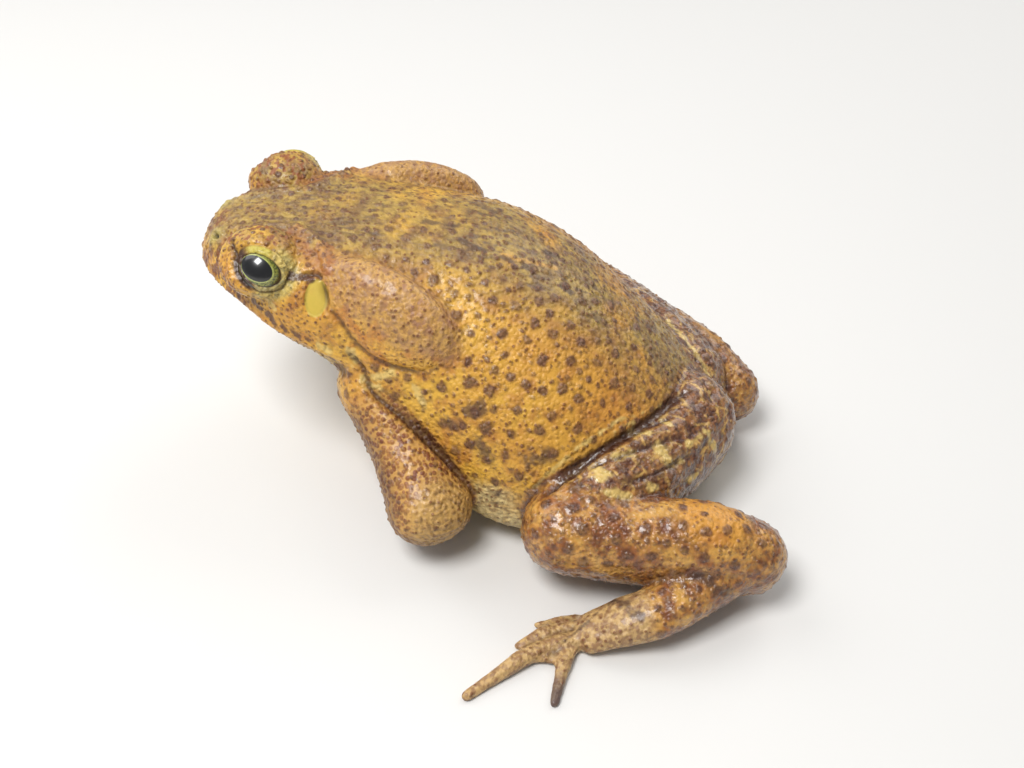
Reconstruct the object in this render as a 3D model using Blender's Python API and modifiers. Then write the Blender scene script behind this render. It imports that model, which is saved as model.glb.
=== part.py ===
"""Cane toad at life size, sitting with its legs folded, as a still model.

Metres, +Z up. The toad faces -Y and its left side is +X. Every place below is in the
toad's own frame, with the floor at z = 0; the last step moves the whole animal so that
the origin is under the middle of its bounding box.
"""

import math
import random

import bmesh
import bpy
import numpy as np
from mathutils import Euler, Matrix, Quaternion, Vector
from mathutils.kdtree import KDTree

MM = 0.001
GAP = 0.3 * MM
LEFT, RIGHT = 1, -1

# Trunk and head in one loft: y, middle, top, bottom, half width, level of the widest point,
# squareness above that level and below it.
TRUNK_STATIONS = (
    (-68.7, -1.0, 52.0, 48.0, 1.3, 50.0, 2.0, 2.0),
    (-67.5, -1.0, 55.2, 45.2, 6.8, 50.0, 2.2, 2.0),
    (-63.8, -0.8, 58.7, 41.5, 12.3, 49.8, 2.5, 1.9),
    (-56.5, -0.4, 61.2, 37.4, 18.5, 48.8, 2.8, 1.75),
    (-47.0, 0.0, 62.6, 32.5, 24.8, 46.5, 3.0, 1.7),
    (-36.0, 0.0, 63.7, 27.5, 29.0, 44.0, 3.1, 1.75),
    (-24.0, 0.0, 64.5, 19.0, 32.0, 37.0, 2.3, 2.0),
    (-10.0, 0.5, 64.5, 6.0, 37.5, 24.0, 2.05, 2.3),
    (6.0, 2.0, 62.7, -0.6, 43.5, 12.5, 2.0, 2.6),
    (24.0, 5.0, 55.6, -0.8, 43.5, 11.0, 1.95, 2.6),
    (42.0, 8.5, 43.5, -0.8, 35.0, 11.0, 1.9, 2.5),
    (54.5, 9.5, 32.5, -0.6, 25.5, 11.5, 1.9, 2.3),
    (63.5, 9.0, 24.5, 2.0, 17.5, 12.0, 2.0, 2.1),
    (69.0, 8.5, 18.0, 7.0, 9.5, 12.5, 2.0, 2.0),
    (70.8, 8.5, 14.5, 10.5, 2.0, 12.5, 2.0, 2.0),
)
HEAD_TURN = math.radians(3)
NECK_Y = -30 * MM
MOUTH_FRONT = Vector((0, -68.7, 48.4)) * MM
MOUTH_BACK = Vector((0, -30, 40)) * MM
MOUTH_LINE = ((0, -69.2), (9, -66.0), (18.3, -56.8), (25, -46), (29.5, -31))
CREST = (
    (5.5, -63.5, 58.8), (7, -58, 61), (7.5, -50, 62.6), (8.2, -44, 63.2),
    (11, -39.6, 63.4), (15, -36.6, 63), (20, -34.4, 61.6), (23, -33.4, 59.8),
)

EYE_CENTRE = Vector((20.3, -49.2, 59.3)) * MM
EYE_RADIUS = 6.0 * MM
LID_COVER = 1.5 * MM
EYE_OPENING = Vector((6.0, 4.9, 3.5)) * MM
EYE_TILT = math.radians(28)
LOOK = Vector((0.844, 0.056, 0.53)).normalized()
LID_CENTRE = Vector((17.5, -50.7, 58.9)) * MM
LID_RADII = Vector((9.2, 9.5, 7.8)) * MM
NOSTRIL = Vector((5.6, -64.6, 57.0)) * MM
PAROTOID_CENTRE = Vector((25.2, -19.8, 51.8)) * MM
PAROTOID_RADII = Vector((6.6, 20.0, 12.1)) * MM
PAROTOID_TURN = Euler([math.radians(angle) for angle in (-17.5, -10, -19.5)], "ZYX")
TYMPANUM_CENTRE = Vector((25.7, -36.3, 55.8)) * MM
TYMPANUM_RADII = Vector((1.5, 2.7, 4.2)) * MM
TYMPANUM_FACES = Vector((0.76, -0.12, 0.60)).normalized()

SHOULDER = Vector((27.0, -22.0, 31.0)) * MM
ELBOW = Vector((49.6, -4.8, 14.0)) * MM
WRIST = Vector((19.0, -16.5, 6.0)) * MM
LEFT_HAND_HEADING = math.radians(198)
RIGHT_HAND_HEADING = math.radians(-68)
HIP = Vector((17.0, 55.5, 19.0)) * MM
RIGHT_HIP = Vector((-2.5, 55.0, 17.0)) * MM
LEFT_KNEE = Vector((53.5, 28.0, 15.5)) * MM
LEFT_HEEL = Vector((53.5, 71.0, 12.5)) * MM
LEFT_TARSUS = Vector((68.0, 52.0, 8.0)) * MM
LEFT_INSTEP = Vector((71.0, 43.0, 5.3)) * MM
RIGHT_KNEE = Vector((-36.0, 31.0, 16.0)) * MM
RIGHT_HEEL = Vector((-6.0, 69.5, 11.5)) * MM
RIGHT_TARSUS = Vector((-23.0, 56.0, 6.0)) * MM
RIGHT_INSTEP = Vector((-33.0, 47.0, 4.7)) * MM
FOOT_HEADING = math.radians(-74)

# Toes and fingers, from the innermost out: the root's place across the paw, the knuckle's and
# the tip's places along and across it, and half the thickness at the knuckle.
TOES = (
    (-3.4, 8.0, -5.0, 12.5, -6.8, 1.4),
    (-2.8, 11.5, -4.8, 18.5, -5.6, 1.6),
    (-2.0, 15.5, -2.8, 24.0, -0.4, 1.9),
    (-0.4, 20.0, 2.1, 38.0, 10.8, 2.2),
    (1.2, 12.5, 2.8, 19.0, 15.5, 1.9),
)
FINGERS = (
    (-3.2, 8.5, -6.0, 14.5, -11.0, 2.1),
    (-1.2, 10.5, -3.0, 18.5, -5.0, 2.1),
    (1.0, 11.0, 1.5, 21.0, 3.0, 2.2),
    (3.0, 9.0, 5.5, 15.5, 10.0, 2.0),
)
SOLE_DEPTH = 0.35 * MM
WEB_THICKNESS = 1.2 * MM
WEB_REACH, WEB_DRAWN_BACK = 0.8, 0.04
FAR_LEG_SLIM = 0.92  # the right leg is pressed flatter against the body

WART_SPACING = 8.4 * MM
WART_RADII = (2.1 * MM, 3.1 * MM)
WART_RISE = 0.38

# Size of the cells that fuse overlapping forms, how much longer than wanted the head and the
# torso are kept until they are thinned, and the triangles left to each form.
TRUNK_CELL, LIMB_CELL, PAW_CELL = 0.9 * MM, 0.8 * MM, 0.55 * MM
NECK_SPARE = 4 * MM
TRIANGLES_OF = {
    "torso": 2700, "head": 1500, "upper_arm": 220, "forearm": 240,
    "hand": 460, "thigh": 280, "shank": 300, "tarsus": 200, "foot": 600,
}


def clear_scene():
    for obj in list(bpy.data.objects):
        bpy.data.objects.remove(obj)


def add_object(name, mesh):
    obj = bpy.data.objects.new(name, mesh)
    bpy.context.scene.collection.objects.link(obj)
    return obj


def curve_through(values, count):
    """Values spread evenly along a smooth curve through the given rows."""
    rows = np.array(values, float)
    ends = np.vstack([2 * rows[0] - rows[1], rows, 2 * rows[-1] - rows[-2]])
    spread = []
    for t in np.linspace(0, len(rows) - 1, count):
        i = min(int(t), len(rows) - 2)
        a, b, c, d = ends[i : i + 4]
        u = t - i
        bend, twist = 2 * a - 5 * b + 4 * c - d, 3 * b - a - 3 * c + d
        spread.append(0.5 * (2 * b + (c - a) * u + bend * u**2 + twist * u**3))
    return np.array(spread)


def loft(name, rings):
    """A closed mesh through rings of equal point counts, with a pole at each end."""
    rings = np.array(rings)
    count, sides = rings.shape[:2]
    points = [tuple(p) for ring in rings for p in ring]
    points += [tuple(rings[0].mean(axis=0)), tuple(rings[-1].mean(axis=0))]
    faces = []
    for i in range(count - 1):
        for j in range(sides):
            k = (j + 1) % sides
            faces.append((i * sides + j, i * sides + k, (i + 1) * sides + k, (i + 1) * sides + j))
    for j in range(sides):
        k = (j + 1) % sides
        faces.append((count * sides, k, j))
        faces.append((count * sides + 1, (count - 1) * sides + j, (count - 1) * sides + k))
    mesh = bpy.data.meshes.new(name)
    mesh.from_pydata(points, [], faces)
    shape = bmesh.new()
    shape.from_mesh(mesh)
    bmesh.ops.recalc_face_normals(shape, faces=shape.faces)
    shape.to_mesh(mesh)
    shape.free()
    return add_object(name, mesh)


def turned(point):
    """Swings what lies in front of the neck with the slight turn of the head."""
    x, y, z = point
    share = min(max((NECK_Y + 6 * MM - y) / (12 * MM), 0), 1)
    turn = HEAD_TURN * share * share * (3 - 2 * share)
    ahead = y - NECK_Y
    return Vector(
        (
            x * math.cos(turn) - ahead * math.sin(turn),
            NECK_Y + x * math.sin(turn) + ahead * math.cos(turn),
            z,
        )
    )


def trunk_loft():
    rings = []
    for y, middle, top, bottom, half_width, widest, above, below in curve_through(TRUNK_STATIONS, 70):
        ring = []
        for turn in np.linspace(0, 2 * math.pi, 48, endpoint=False):
            c, s = math.cos(turn), math.sin(turn)
            square = above if s > 0 else below
            across = math.copysign(abs(c) ** (2 / square), c) * half_width
            reach = top - widest if s > 0 else widest - bottom
            rise = math.copysign(abs(s) ** (2 / square), s) * reach
            ring.append(turned(Vector((middle + across, y, widest + rise)) * MM))
        rings.append(ring)
    return loft("trunk_form", rings)


def tube(name, stations, sides=16, rings=14):
    """A limb form with rounded ends: stations are (centre, half width and half height in mm)."""
    rows = [(*centre, wide * MM, high * MM) for centre, wide, high in stations]
    path = curve_through(rows, rings)
    centres = [Vector(row[:3]) for row in path]
    made = []

    def add_ring(centre, along, wide, high):
        side = along.cross(Vector((0, 0, 1))).normalized()
        rise = side.cross(along).normalized()
        ring = []
        for j in range(sides):
            turn = 2 * math.pi * j / sides
            ring.append(centre + side * wide * math.cos(turn) + rise * high * math.sin(turn))
        made.append(ring)

    start = (centres[1] - centres[0]).normalized()
    end = (centres[-1] - centres[-2]).normalized()
    wide, high = path[0][3:]
    for angle in (75, 50, 25):
        lean, small = math.sin(math.radians(angle)), math.cos(math.radians(angle))
        add_ring(centres[0] - start * high * lean, start, wide * small, high * small)
    for i, centre in enumerate(centres):
        along = centres[min(i + 1, rings - 1)] - centres[max(i - 1, 0)]
        add_ring(centre, along.normalized(), *path[i][3:])
    wide, high = path[-1][3:]
    for angle in (25, 50, 75):
        lean, small = math.sin(math.radians(angle)), math.cos(math.radians(angle))
        add_ring(centres[-1] + end * high * lean, end, wide * small, high * small)
    return loft(name, made)


def ball(name, centre, radii, turn, sides):
    """An ellipsoid; turn is an Euler or a quaternion."""
    mesh = bpy.data.meshes.new(name)
    shape = bmesh.new()
    place = Matrix.Translation(centre) @ turn.to_matrix().to_4x4() @ Matrix.Diagonal((*radii, 1))
    bmesh.ops.create_uvsphere(shape, u_segments=sides, v_segments=sides // 2, radius=1, matrix=place)
    shape.to_mesh(mesh)
    shape.free()
    return add_object(name, mesh)


def with_modifier(obj, kind, **settings):
    """Applies one modifier to the object's mesh."""
    modifier = obj.modifiers.new(kind.title(), kind)
    for key, value in settings.items():
        setattr(modifier, key, value)
    bpy.context.view_layer.update()
    evaluated = obj.evaluated_get(bpy.context.evaluated_depsgraph_get())
    mesh = bpy.data.meshes.new_from_object(evaluated)
    obj.modifiers.clear()
    obj.data = mesh
    return obj


def fuse(name, pieces, voxel):
    """One closed dense mesh from overlapping forms."""
    shape = bmesh.new()
    for piece in pieces:
        shape.from_mesh(piece.data)
        bpy.data.objects.remove(piece)
    mesh = bpy.data.meshes.new(name)
    shape.to_mesh(mesh)
    shape.free()
    obj = add_object(name, mesh)
    return with_modifier(obj, "REMESH", mode="VOXEL", voxel_size=voxel)


def copy_of(obj, name, across=1):
    """A copy of the object; across=-1 makes the one for the other side."""
    mesh = obj.data.copy()
    if across < 0:
        mesh.transform(Matrix.Diagonal((-1, 1, 1, 1)))
        mesh.flip_normals()
    return add_object(name, mesh)


def points_of(obj):
    points = np.empty(len(obj.data.vertices) * 3, np.float32)
    obj.data.vertices.foreach_get("co", points)
    return points.reshape(-1, 3).astype(float)


def normals_of(obj):
    normals = np.empty(len(obj.data.vertices) * 3, np.float32)
    obj.data.vertex_normals.foreach_get("vector", normals)
    return normals.reshape(-1, 3).astype(float)


def place_points(obj, points):
    obj.data.vertices.foreach_set("co", points.astype(np.float32).ravel())
    obj.data.update()


def soften(obj, passes, near=None, reach=0.0):
    """Evens the surface out, all over or only around one point."""
    edges = np.empty(len(obj.data.edges) * 2, np.int32)
    obj.data.edges.foreach_get("vertices", edges)
    a, b = edges.reshape(-1, 2).T
    points = points_of(obj)
    count = len(points)
    degree = np.bincount(a, minlength=count) + np.bincount(b, minlength=count)
    share = np.full(count, 0.6)
    if near is not None:
        away = np.linalg.norm(points - np.array(near), axis=1)
        share *= np.clip(1.5 - away / reach, 0, 1)
    for _ in range(passes):
        for axis in range(3):
            value = points[:, axis]
            total = np.bincount(a, value[b], count) + np.bincount(b, value[a], count)
            points[:, axis] = value + share * (total / degree - value)
    place_points(obj, points)


def distance_to_path(points, path):
    path = np.array(path, float)
    nearest = np.full(len(points), np.inf)
    for start, end in zip(path[:-1], path[1:]):
        run = end - start
        along = np.clip((points - start) @ run / (run @ run), 0, 1)
        away = np.linalg.norm(points - start - along[:, None] * run, axis=1)
        nearest = np.minimum(nearest, away)
    return nearest


def raise_along(obj, path, width, height):
    """A ridge along the path, or a groove where height is negative."""
    points = points_of(obj)
    lift = height * np.exp(-((distance_to_path(points, path) / width) ** 2))
    place_points(obj, points + normals_of(obj) * lift[:, None])


def grow_warts(obj, allowed):
    """Low domes set at random over the surface where allowed(point, normal) says so."""
    draw = random.Random(7)
    points, normals = points_of(obj), normals_of(obj)
    order = list(range(len(points)))
    draw.shuffle(order)
    grown = []
    for i in order:
        if not allowed(points[i], normals[i]):
            continue
        if all(np.linalg.norm(points[i] - points[j]) > WART_SPACING for j, _ in grown):
            grown.append((i, draw.uniform(*WART_RADII)))
    tree = KDTree(len(grown))
    for k, (i, _) in enumerate(grown):
        tree.insert(Vector(points[i]), k)
    tree.balance()
    lift = np.zeros(len(points))
    for i, point in enumerate(points):
        _, k, away = tree.find(Vector(point))
        radius = grown[k][1]
        if away < radius:
            lift[i] = WART_RISE * radius * (1 - (away / radius) ** 2)
    place_points(obj, points + normals * lift[:, None])


def thin_out(obj, triangles):
    """Brings the dense mesh down to about this many triangles."""
    with_modifier(obj, "TRIANGULATE")
    if len(obj.data.polygons) > triangles:
        with_modifier(obj, "DECIMATE", ratio=triangles / len(obj.data.polygons))
    return obj


def keep_side(obj, point, normal):
    """Cuts the mesh with a plane, keeps what lies against the normal and closes the cut."""
    shape = bmesh.new()
    shape.from_mesh(obj.data)
    everything = shape.verts[:] + shape.edges[:] + shape.faces[:]
    bmesh.ops.bisect_plane(
        shape, geom=everything, dist=1e-7, plane_co=point, plane_no=normal, clear_outer=True
    )
    open_edges = [edge for edge in shape.edges if edge.is_boundary]
    if open_edges:
        bmesh.ops.holes_fill(shape, edges=open_edges, sides=0)
    bmesh.ops.triangulate(shape, faces=[face for face in shape.faces if len(face.verts) > 3])
    shape.to_mesh(obj.data)
    shape.free()
    return obj


def part_limbs(first, second, joint, first_end, second_end):
    """Parts two limb segments at their joint, on the plane halfway between them."""
    toward = (first_end - joint).normalized() - (second_end - joint).normalized()
    toward.normalize()
    keep_side(first, joint + toward * GAP / 2, -toward)
    keep_side(second, joint - toward * GAP / 2, toward)


def swollen(obj, by):
    """A helper copy of the object, grown outwards all round by the joint gap."""
    grown = copy_of(obj, obj.name + "_room")
    place_points(grown, points_of(obj) + normals_of(obj) * by)
    return grown


def largest_piece(obj):
    """Keeps only the closed surface with the most faces."""
    shape = bmesh.new()
    shape.from_mesh(obj.data)
    bmesh.ops.remove_doubles(shape, verts=shape.verts, dist=1e-6)
    left = set(shape.faces)
    groups = []
    while left:
        group, waiting = set(), [left.pop()]
        while waiting:
            face = waiting.pop()
            group.add(face)
            for edge in face.edges:
                for other in edge.link_faces:
                    if other in left:
                        left.remove(other)
                        waiting.append(other)
        groups.append(group)
    groups.sort(key=len)
    scraps = [face for group in groups[:-1] for face in group]
    bmesh.ops.delete(shape, geom=scraps, context="FACES")
    shape.to_mesh(obj.data)
    shape.free()
    return obj


def clear_of(obj, *others):
    """Cuts the object back so that it meets the others face to face."""
    for other in others:
        room = swollen(other, GAP * 1.15)
        with_modifier(obj, "BOOLEAN", operation="DIFFERENCE", object=room, solver="MANIFOLD")
        bpy.data.objects.remove(room)
    return largest_piece(obj)


def across(point, side):
    """The point as it is on the left, or mirrored to the right side."""
    return Vector((point[0] * side, point[1], point[2]))


def side_point(point, side):
    """The point on the left or right side, turned with the head where it is on the head."""
    return turned(across(point, side))


def outward(direction, side):
    """The direction on the left or right side of the turned head."""
    return Matrix.Rotation(HEAD_TURN, 3, "Z") @ across(direction, side)


def mouth_line(side, rise):
    """The line where the lips meet, or one that far above it."""
    points = []
    for x, y in MOUTH_LINE:
        share = (y * MM - MOUTH_FRONT.y) / (MOUTH_BACK.y - MOUTH_FRONT.y)
        height = MOUTH_FRONT.lerp(MOUTH_BACK, share).z + rise
        points.append(side_point((x * MM, y * MM, height), side))
    return points


def make_trunk():
    """Trunk, neck and head as one dense form, with the ridges, lips and nostrils of the head."""
    pieces = [trunk_loft()]
    for side in (LEFT, RIGHT):
        pieces.append(ball("lid_mound", side_point(LID_CENTRE, side), LID_RADII, Euler(), 24))
        cover = (EYE_RADIUS + LID_COVER,) * 3
        pieces.append(ball("lid_cover", side_point(EYE_CENTRE, side), cover, Euler(), 24))
    trunk = fuse("trunk", pieces, TRUNK_CELL)
    soften(trunk, 6)
    for side in (LEFT, RIGHT):
        soften(trunk, 10, side_point(LID_CENTRE, side), 13 * MM)
        crest = [side_point(Vector(place) * MM, side) for place in CREST]
        raise_along(trunk, crest, 1.5 * MM, 1.3 * MM)
        raise_along(trunk, mouth_line(side, 0), 1.0 * MM, -0.9 * MM)
        raise_along(trunk, mouth_line(side, 2.2 * MM), 1.2 * MM, 0.5 * MM)
        raise_along(trunk, mouth_line(side, -2.6 * MM), 2.4 * MM, -1.4 * MM)
        nostril = side_point(NOSTRIL, side)
        raise_along(trunk, [nostril, nostril + Vector((0.0, 0.5, 0.5)) * MM], 1.2 * MM, -1.5 * MM)
        rim = nostril + Vector((0, 1.8, 0.4)) * MM
        raise_along(trunk, [rim, rim + Vector((0.0, 0.3, 0.3)) * MM], 1.3 * MM, 0.6 * MM)

    limbs = [(HIP, LEFT_KNEE, 16 * MM), (RIGHT_HIP, RIGHT_KNEE, 15 * MM)]
    limbs += [(across(SHOULDER, side), across(ELBOW, side), 13 * MM) for side in (LEFT, RIGHT)]

    def on_back(point, normal):
        if point[1] < -26 * MM or normal[2] < -0.25 or point[2] < 8 * MM:
            return False
        spot = point[None, :]
        return all(distance_to_path(spot, limb)[0] > reach for *limb, reach in limbs)

    grow_warts(trunk, on_back)
    return trunk


def part_trunk(trunk):
    """Parts the trunk form at the neck and at the mouth into torso, head and lower jaw."""
    upward = Vector((1, 0, 0)).cross(MOUTH_BACK - MOUTH_FRONT).normalized()
    neck, back = Vector((0, NECK_Y, 0)), Vector((0, 1, 0))
    front = keep_side(copy_of(trunk, "head"), neck + back * NECK_SPARE, back)
    trunk.name = "torso"
    keep_side(trunk, neck - back * NECK_SPARE, -back)
    thin_out(trunk, TRIANGLES_OF["torso"])
    thin_out(front, TRIANGLES_OF["head"])
    keep_side(trunk, neck + back * GAP / 2, -back)
    keep_side(trunk, Vector(), Vector((0, 0, -1)))
    keep_side(front, neck - back * GAP / 2, back)
    jaw = copy_of(front, "lower_jaw")
    keep_side(front, MOUTH_FRONT + upward * GAP / 2, -upward)
    keep_side(jaw, MOUTH_FRONT - upward * GAP / 2, upward)
    return [largest_piece(piece) for piece in (trunk, front, jaw)]


def cut_away(obj, cutter):
    with_modifier(obj, "BOOLEAN", operation="DIFFERENCE", object=cutter, solver="EXACT")
    bpy.data.objects.remove(cutter)


def set_eye(head, side, tag):
    """The eyeball in its socket, seen through the opening between the lids."""
    centre, look = side_point(EYE_CENTRE, side), outward(LOOK, side)
    facing = look.to_track_quat("X", "Z")
    cut_away(head, ball("socket", centre, (EYE_RADIUS + GAP,) * 3, facing, 18))
    tilted = facing @ Quaternion((1, 0, 0), -EYE_TILT if side == LEFT else EYE_TILT)
    cut_away(head, ball("lid_opening", centre + look * EYE_RADIUS, EYE_OPENING, tilted, 16))
    return ball("eye_" + tag, centre, (EYE_RADIUS,) * 3, facing, 16)


def set_tympanum(head, side, tag):
    """The eardrum, a thin disc let into the side of the head."""
    centre = side_point(TYMPANUM_CENTRE, side)
    facing = outward(TYMPANUM_FACES, side).to_track_quat("X", "Z")
    room = [radius + GAP for radius in TYMPANUM_RADII]
    cut_away(head, ball("ear_recess", centre, room, facing, 18))
    return ball("tympanum_" + tag, centre, TYMPANUM_RADII, facing, 14)


def set_parotoid(torso, head, tympanum, side, tag):
    """The poison gland behind the eye, a long swelling that lies on the neck and shoulder."""
    gland = ball("parotoid_left", PAROTOID_CENTRE, PAROTOID_RADII, PAROTOID_TURN, 18)
    if side == RIGHT:
        left, gland = gland, copy_of(gland, "parotoid_" + tag, across=-1)
        bpy.data.objects.remove(left)
    return clear_of(gland, torso, head, tympanum)


def digit_path(start, heading, side, root, knuckle_along, knuckle_across, tip_along, tip_across):
    """Places on the floor along one toe or finger, as a smooth curve from root to tip."""
    ahead = Vector((math.cos(heading), math.sin(heading), 0))
    across = Vector((-ahead.y, ahead.x, 0)) * side
    middle = (knuckle_along * 0.4, root * 0.6 + knuckle_across * 0.4)
    places = [(0, root), middle, (knuckle_along, knuckle_across), (tip_along, tip_across)]
    return [start + (ahead * along + across * out) * MM for along, out in curve_through(places, 25)]


def digit(path, thick):
    """A toe or finger lying on the floor, with a knuckle and a rounded tip."""
    shape = ((0.0, 1.25, 2.2), (0.3, 1.05, 1.1), (0.55, 0.92, 0.35), (0.72, 1.0, 0.15), (1.0, 0.6, 0.0))
    stations = []
    for share, swell, lift in shape:
        centre = path[round(share * (len(path) - 1))].copy()
        centre.z = (thick * swell * 0.9 + lift) * MM - SOLE_DEPTH
        stations.append((centre, thick * swell, thick * swell * 0.9))
    return tube("digit", stations, sides=12, rings=18)


def web(first, second):
    """Thin skin between two digits, its edge drawn back in a curve."""
    columns, rows = 7, 8
    points, faces = [], []
    for i in range(rows):
        for j in range(columns):
            share = j / (columns - 1)
            reach = WEB_REACH * (1 - WEB_DRAWN_BACK * math.sin(math.pi * share)) * (0.15 + 0.85 * i / (rows - 1))
            at = round(reach * (len(first) - 1))
            place = first[at] * (1 - share) + second[at] * share
            place.z = (1.2 + 1.8 * (1 - i / (rows - 1))) * MM
            points.append(place)
    for i in range(rows - 1):
        for j in range(columns - 1):
            k = i * columns + j
            faces.append((k, k + 1, k + columns + 1, k + columns))
    mesh = bpy.data.meshes.new("web")
    mesh.from_pydata(points, [], faces)
    return with_modifier(add_object("web", mesh), "SOLIDIFY", thickness=WEB_THICKNESS, offset=0.0)


def make_paw(name, start, heading, side, digits, webbed, root_size, ball_size):
    """A hand or foot: its sole, its digits and, on a foot, the webs between them."""
    ahead = Vector((math.cos(heading), math.sin(heading), 0))
    floor_start = Vector((start.x, start.y, 0))
    front = floor_start + ahead * 8 * MM + Vector((0, 0, ball_size[1] * MM - SOLE_DEPTH))
    pieces = [tube("sole", [(start, *root_size), (front, *ball_size)])]
    paths = []
    for *places, thick in digits:
        paths.append(digit_path(floor_start, heading, side, *places))
        pieces.append(digit(paths[-1], thick))
    if webbed:
        pieces += [web(first, second) for first, second in zip(paths[:-1], paths[1:])]
    paw = fuse(name, pieces, PAW_CELL)
    soften(paw, 2)
    thin_out(paw, TRIANGLES_OF[name.rsplit("_", 1)[0]])
    return keep_side(paw, Vector(), Vector((0, 0, -1)))


def make_limb(name, stations):
    """One limb segment with rounded ends."""
    limb = fuse(name, [tube(name, stations, sides=20, rings=18)], LIMB_CELL)
    soften(limb, 3)
    return thin_out(limb, TRIANGLES_OF[name.rsplit("_", 1)[0]])


def make_arm(side, tag):
    shoulder, elbow, wrist = (across(joint, side) for joint in (SHOULDER, ELBOW, WRIST))
    heading = LEFT_HAND_HEADING if side == LEFT else RIGHT_HAND_HEADING
    upper = make_limb(
        "upper_arm_" + tag,
        [(shoulder, 9, 9), (shoulder.lerp(elbow, 0.5), 7.9, 7.9), (elbow, 10.6, 9.0)],
    )
    fore = make_limb(
        "forearm_" + tag,
        [
            (elbow, 10.6, 9.0), (elbow.lerp(wrist, 0.35), 8.8, 8.2),
            (elbow.lerp(wrist, 0.75), 6.0, 5.6), (wrist, 4.8, 4.4),
        ],
    )
    hand = make_paw("hand_" + tag, wrist, heading, side, FINGERS, False, (4.6, 4.0), (5.4, 2.6))
    part_limbs(upper, fore, elbow, shoulder, wrist)
    palm = wrist + Vector((math.cos(heading), math.sin(heading), 0)) * 10 * MM
    part_limbs(fore, hand, wrist, elbow, palm)
    return upper, fore, hand


def make_leg(side, tag, hip, knee, heel, middle, instep):
    slim = 1.0 if side == LEFT else FAR_LEG_SLIM
    heading = FOOT_HEADING if side == LEFT else math.pi - FOOT_HEADING
    thigh = make_limb(
        "thigh_" + tag,
        [(hip, 14 * slim, 14 * slim), (hip.lerp(knee, 0.5), 14.2 * slim, 14.2 * slim), (knee, 10.5, 10.5)],
    )
    calf = knee.lerp(heel, 0.75) + Vector((0, 0, 1.8 * MM))
    shank = make_limb(
        "shank_" + tag,
        [
            (knee, 10.5, 10.5), (knee.lerp(heel, 0.4), 10.2, 11.2),
            (calf, 9.8 * slim, 11.2 * slim), (heel, 8.8 * slim, 10 * slim),
        ],
    )
    tarsus = make_limb(
        "tarsus_" + tag,
        [
            (heel, 8 * slim, 7.6 * slim), (heel.lerp(middle, 0.45), 7.0, 6.4),
            (middle, 6.5, 5.4), (instep, 6.2, 4.4),
        ],
    )
    foot = make_paw("foot_" + tag, instep, heading, side, TOES, True, (6.0, 4.2), (5.2, 2.8))
    part_limbs(thigh, shank, knee, hip, heel)
    part_limbs(shank, tarsus, heel, knee, middle)
    toes = instep + Vector((math.cos(heading), math.sin(heading), 0)) * 10 * MM
    part_limbs(tarsus, foot, instep, middle, toes)
    return thigh, shank, tarsus, foot


def add_material(obj, name, colour, roughness):
    material = bpy.data.materials.get(name) or bpy.data.materials.new(name)
    material.use_nodes = True
    finish = material.node_tree.nodes["Principled BSDF"]
    finish.inputs["Base Color"].default_value = (*colour, 1)
    finish.inputs["Roughness"].default_value = roughness
    material.diffuse_color = (*colour, 1)
    obj.data.materials.append(material)


def dress(nodes):
    """Gives each node the finish of its own skin."""
    finishes = {
        "eye": ("eye", (0.012, 0.010, 0.008), 0.08),
        "tympanum": ("eardrum_skin", (0.62, 0.36, 0.08), 0.5),
        "parotoid": ("gland_skin", (0.36, 0.19, 0.07), 0.6),
        "upper_arm": ("arm_skin", (0.34, 0.16, 0.07), 0.5),
        "forearm": ("arm_skin", (0.34, 0.16, 0.07), 0.5),
        "thigh": ("leg_skin", (0.30, 0.14, 0.05), 0.45),
        "shank": ("leg_skin", (0.30, 0.14, 0.05), 0.45),
        "tarsus": ("leg_skin", (0.30, 0.14, 0.05), 0.45),
        "foot": ("foot_skin", (0.52, 0.32, 0.14), 0.45),
        "hand": ("foot_skin", (0.52, 0.32, 0.14), 0.45),
    }
    for node in nodes:
        kind = node.name.replace("_left", "").replace("_right", "")
        add_material(node, *finishes.get(kind, ("back_skin", (0.56, 0.30, 0.06), 0.55)))
        node.data.shade_smooth()
        node.data.set_sharp_from_angle(angle=math.radians(50))


def stand_on_origin(nodes):
    """Groups the nodes under one empty, moved so that the box of them all stands on the origin."""
    everything = np.concatenate([points_of(node) for node in nodes])
    middle = (everything.min(axis=0) + everything.max(axis=0)) / 2
    stand = bpy.data.objects.new("cane_toad", None)
    stand.location = (-middle[0], -middle[1], 0)
    collection = bpy.data.collections.new("cane_toad")
    bpy.context.scene.collection.children.link(collection)
    collection.objects.link(stand)
    for node in nodes:
        bpy.context.scene.collection.objects.unlink(node)
        collection.objects.link(node)
        node.parent = stand


def main():
    clear_scene()
    torso, head, jaw = part_trunk(make_trunk())
    nodes = [torso, head, jaw]
    legs = {
        LEFT: (HIP, LEFT_KNEE, LEFT_HEEL, LEFT_TARSUS, LEFT_INSTEP),
        RIGHT: (RIGHT_HIP, RIGHT_KNEE, RIGHT_HEEL, RIGHT_TARSUS, RIGHT_INSTEP),
    }
    tympana = {}
    for side, tag in ((LEFT, "left"), (RIGHT, "right")):
        nodes.append(set_eye(head, side, tag))
        tympana[side] = set_tympanum(head, side, tag)
    nodes += tympana.values()
    largest_piece(head)
    for side, tag in ((LEFT, "left"), (RIGHT, "right")):
        nodes.append(set_parotoid(torso, head, tympana[side], side, tag))
        segments = make_arm(side, tag)
        for segment in segments[:2]:
            clear_of(segment, torso, jaw)
        nodes += segments
        segments = make_leg(side, tag, *legs[side])
        for segment in segments[:3]:
            clear_of(segment, torso)
        thigh, shank, tarsus, foot = segments
        clear_of(tarsus, thigh)
        clear_of(foot, thigh, shank)
        nodes += segments
    dress(nodes)
    stand_on_origin(nodes)


main()
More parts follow.
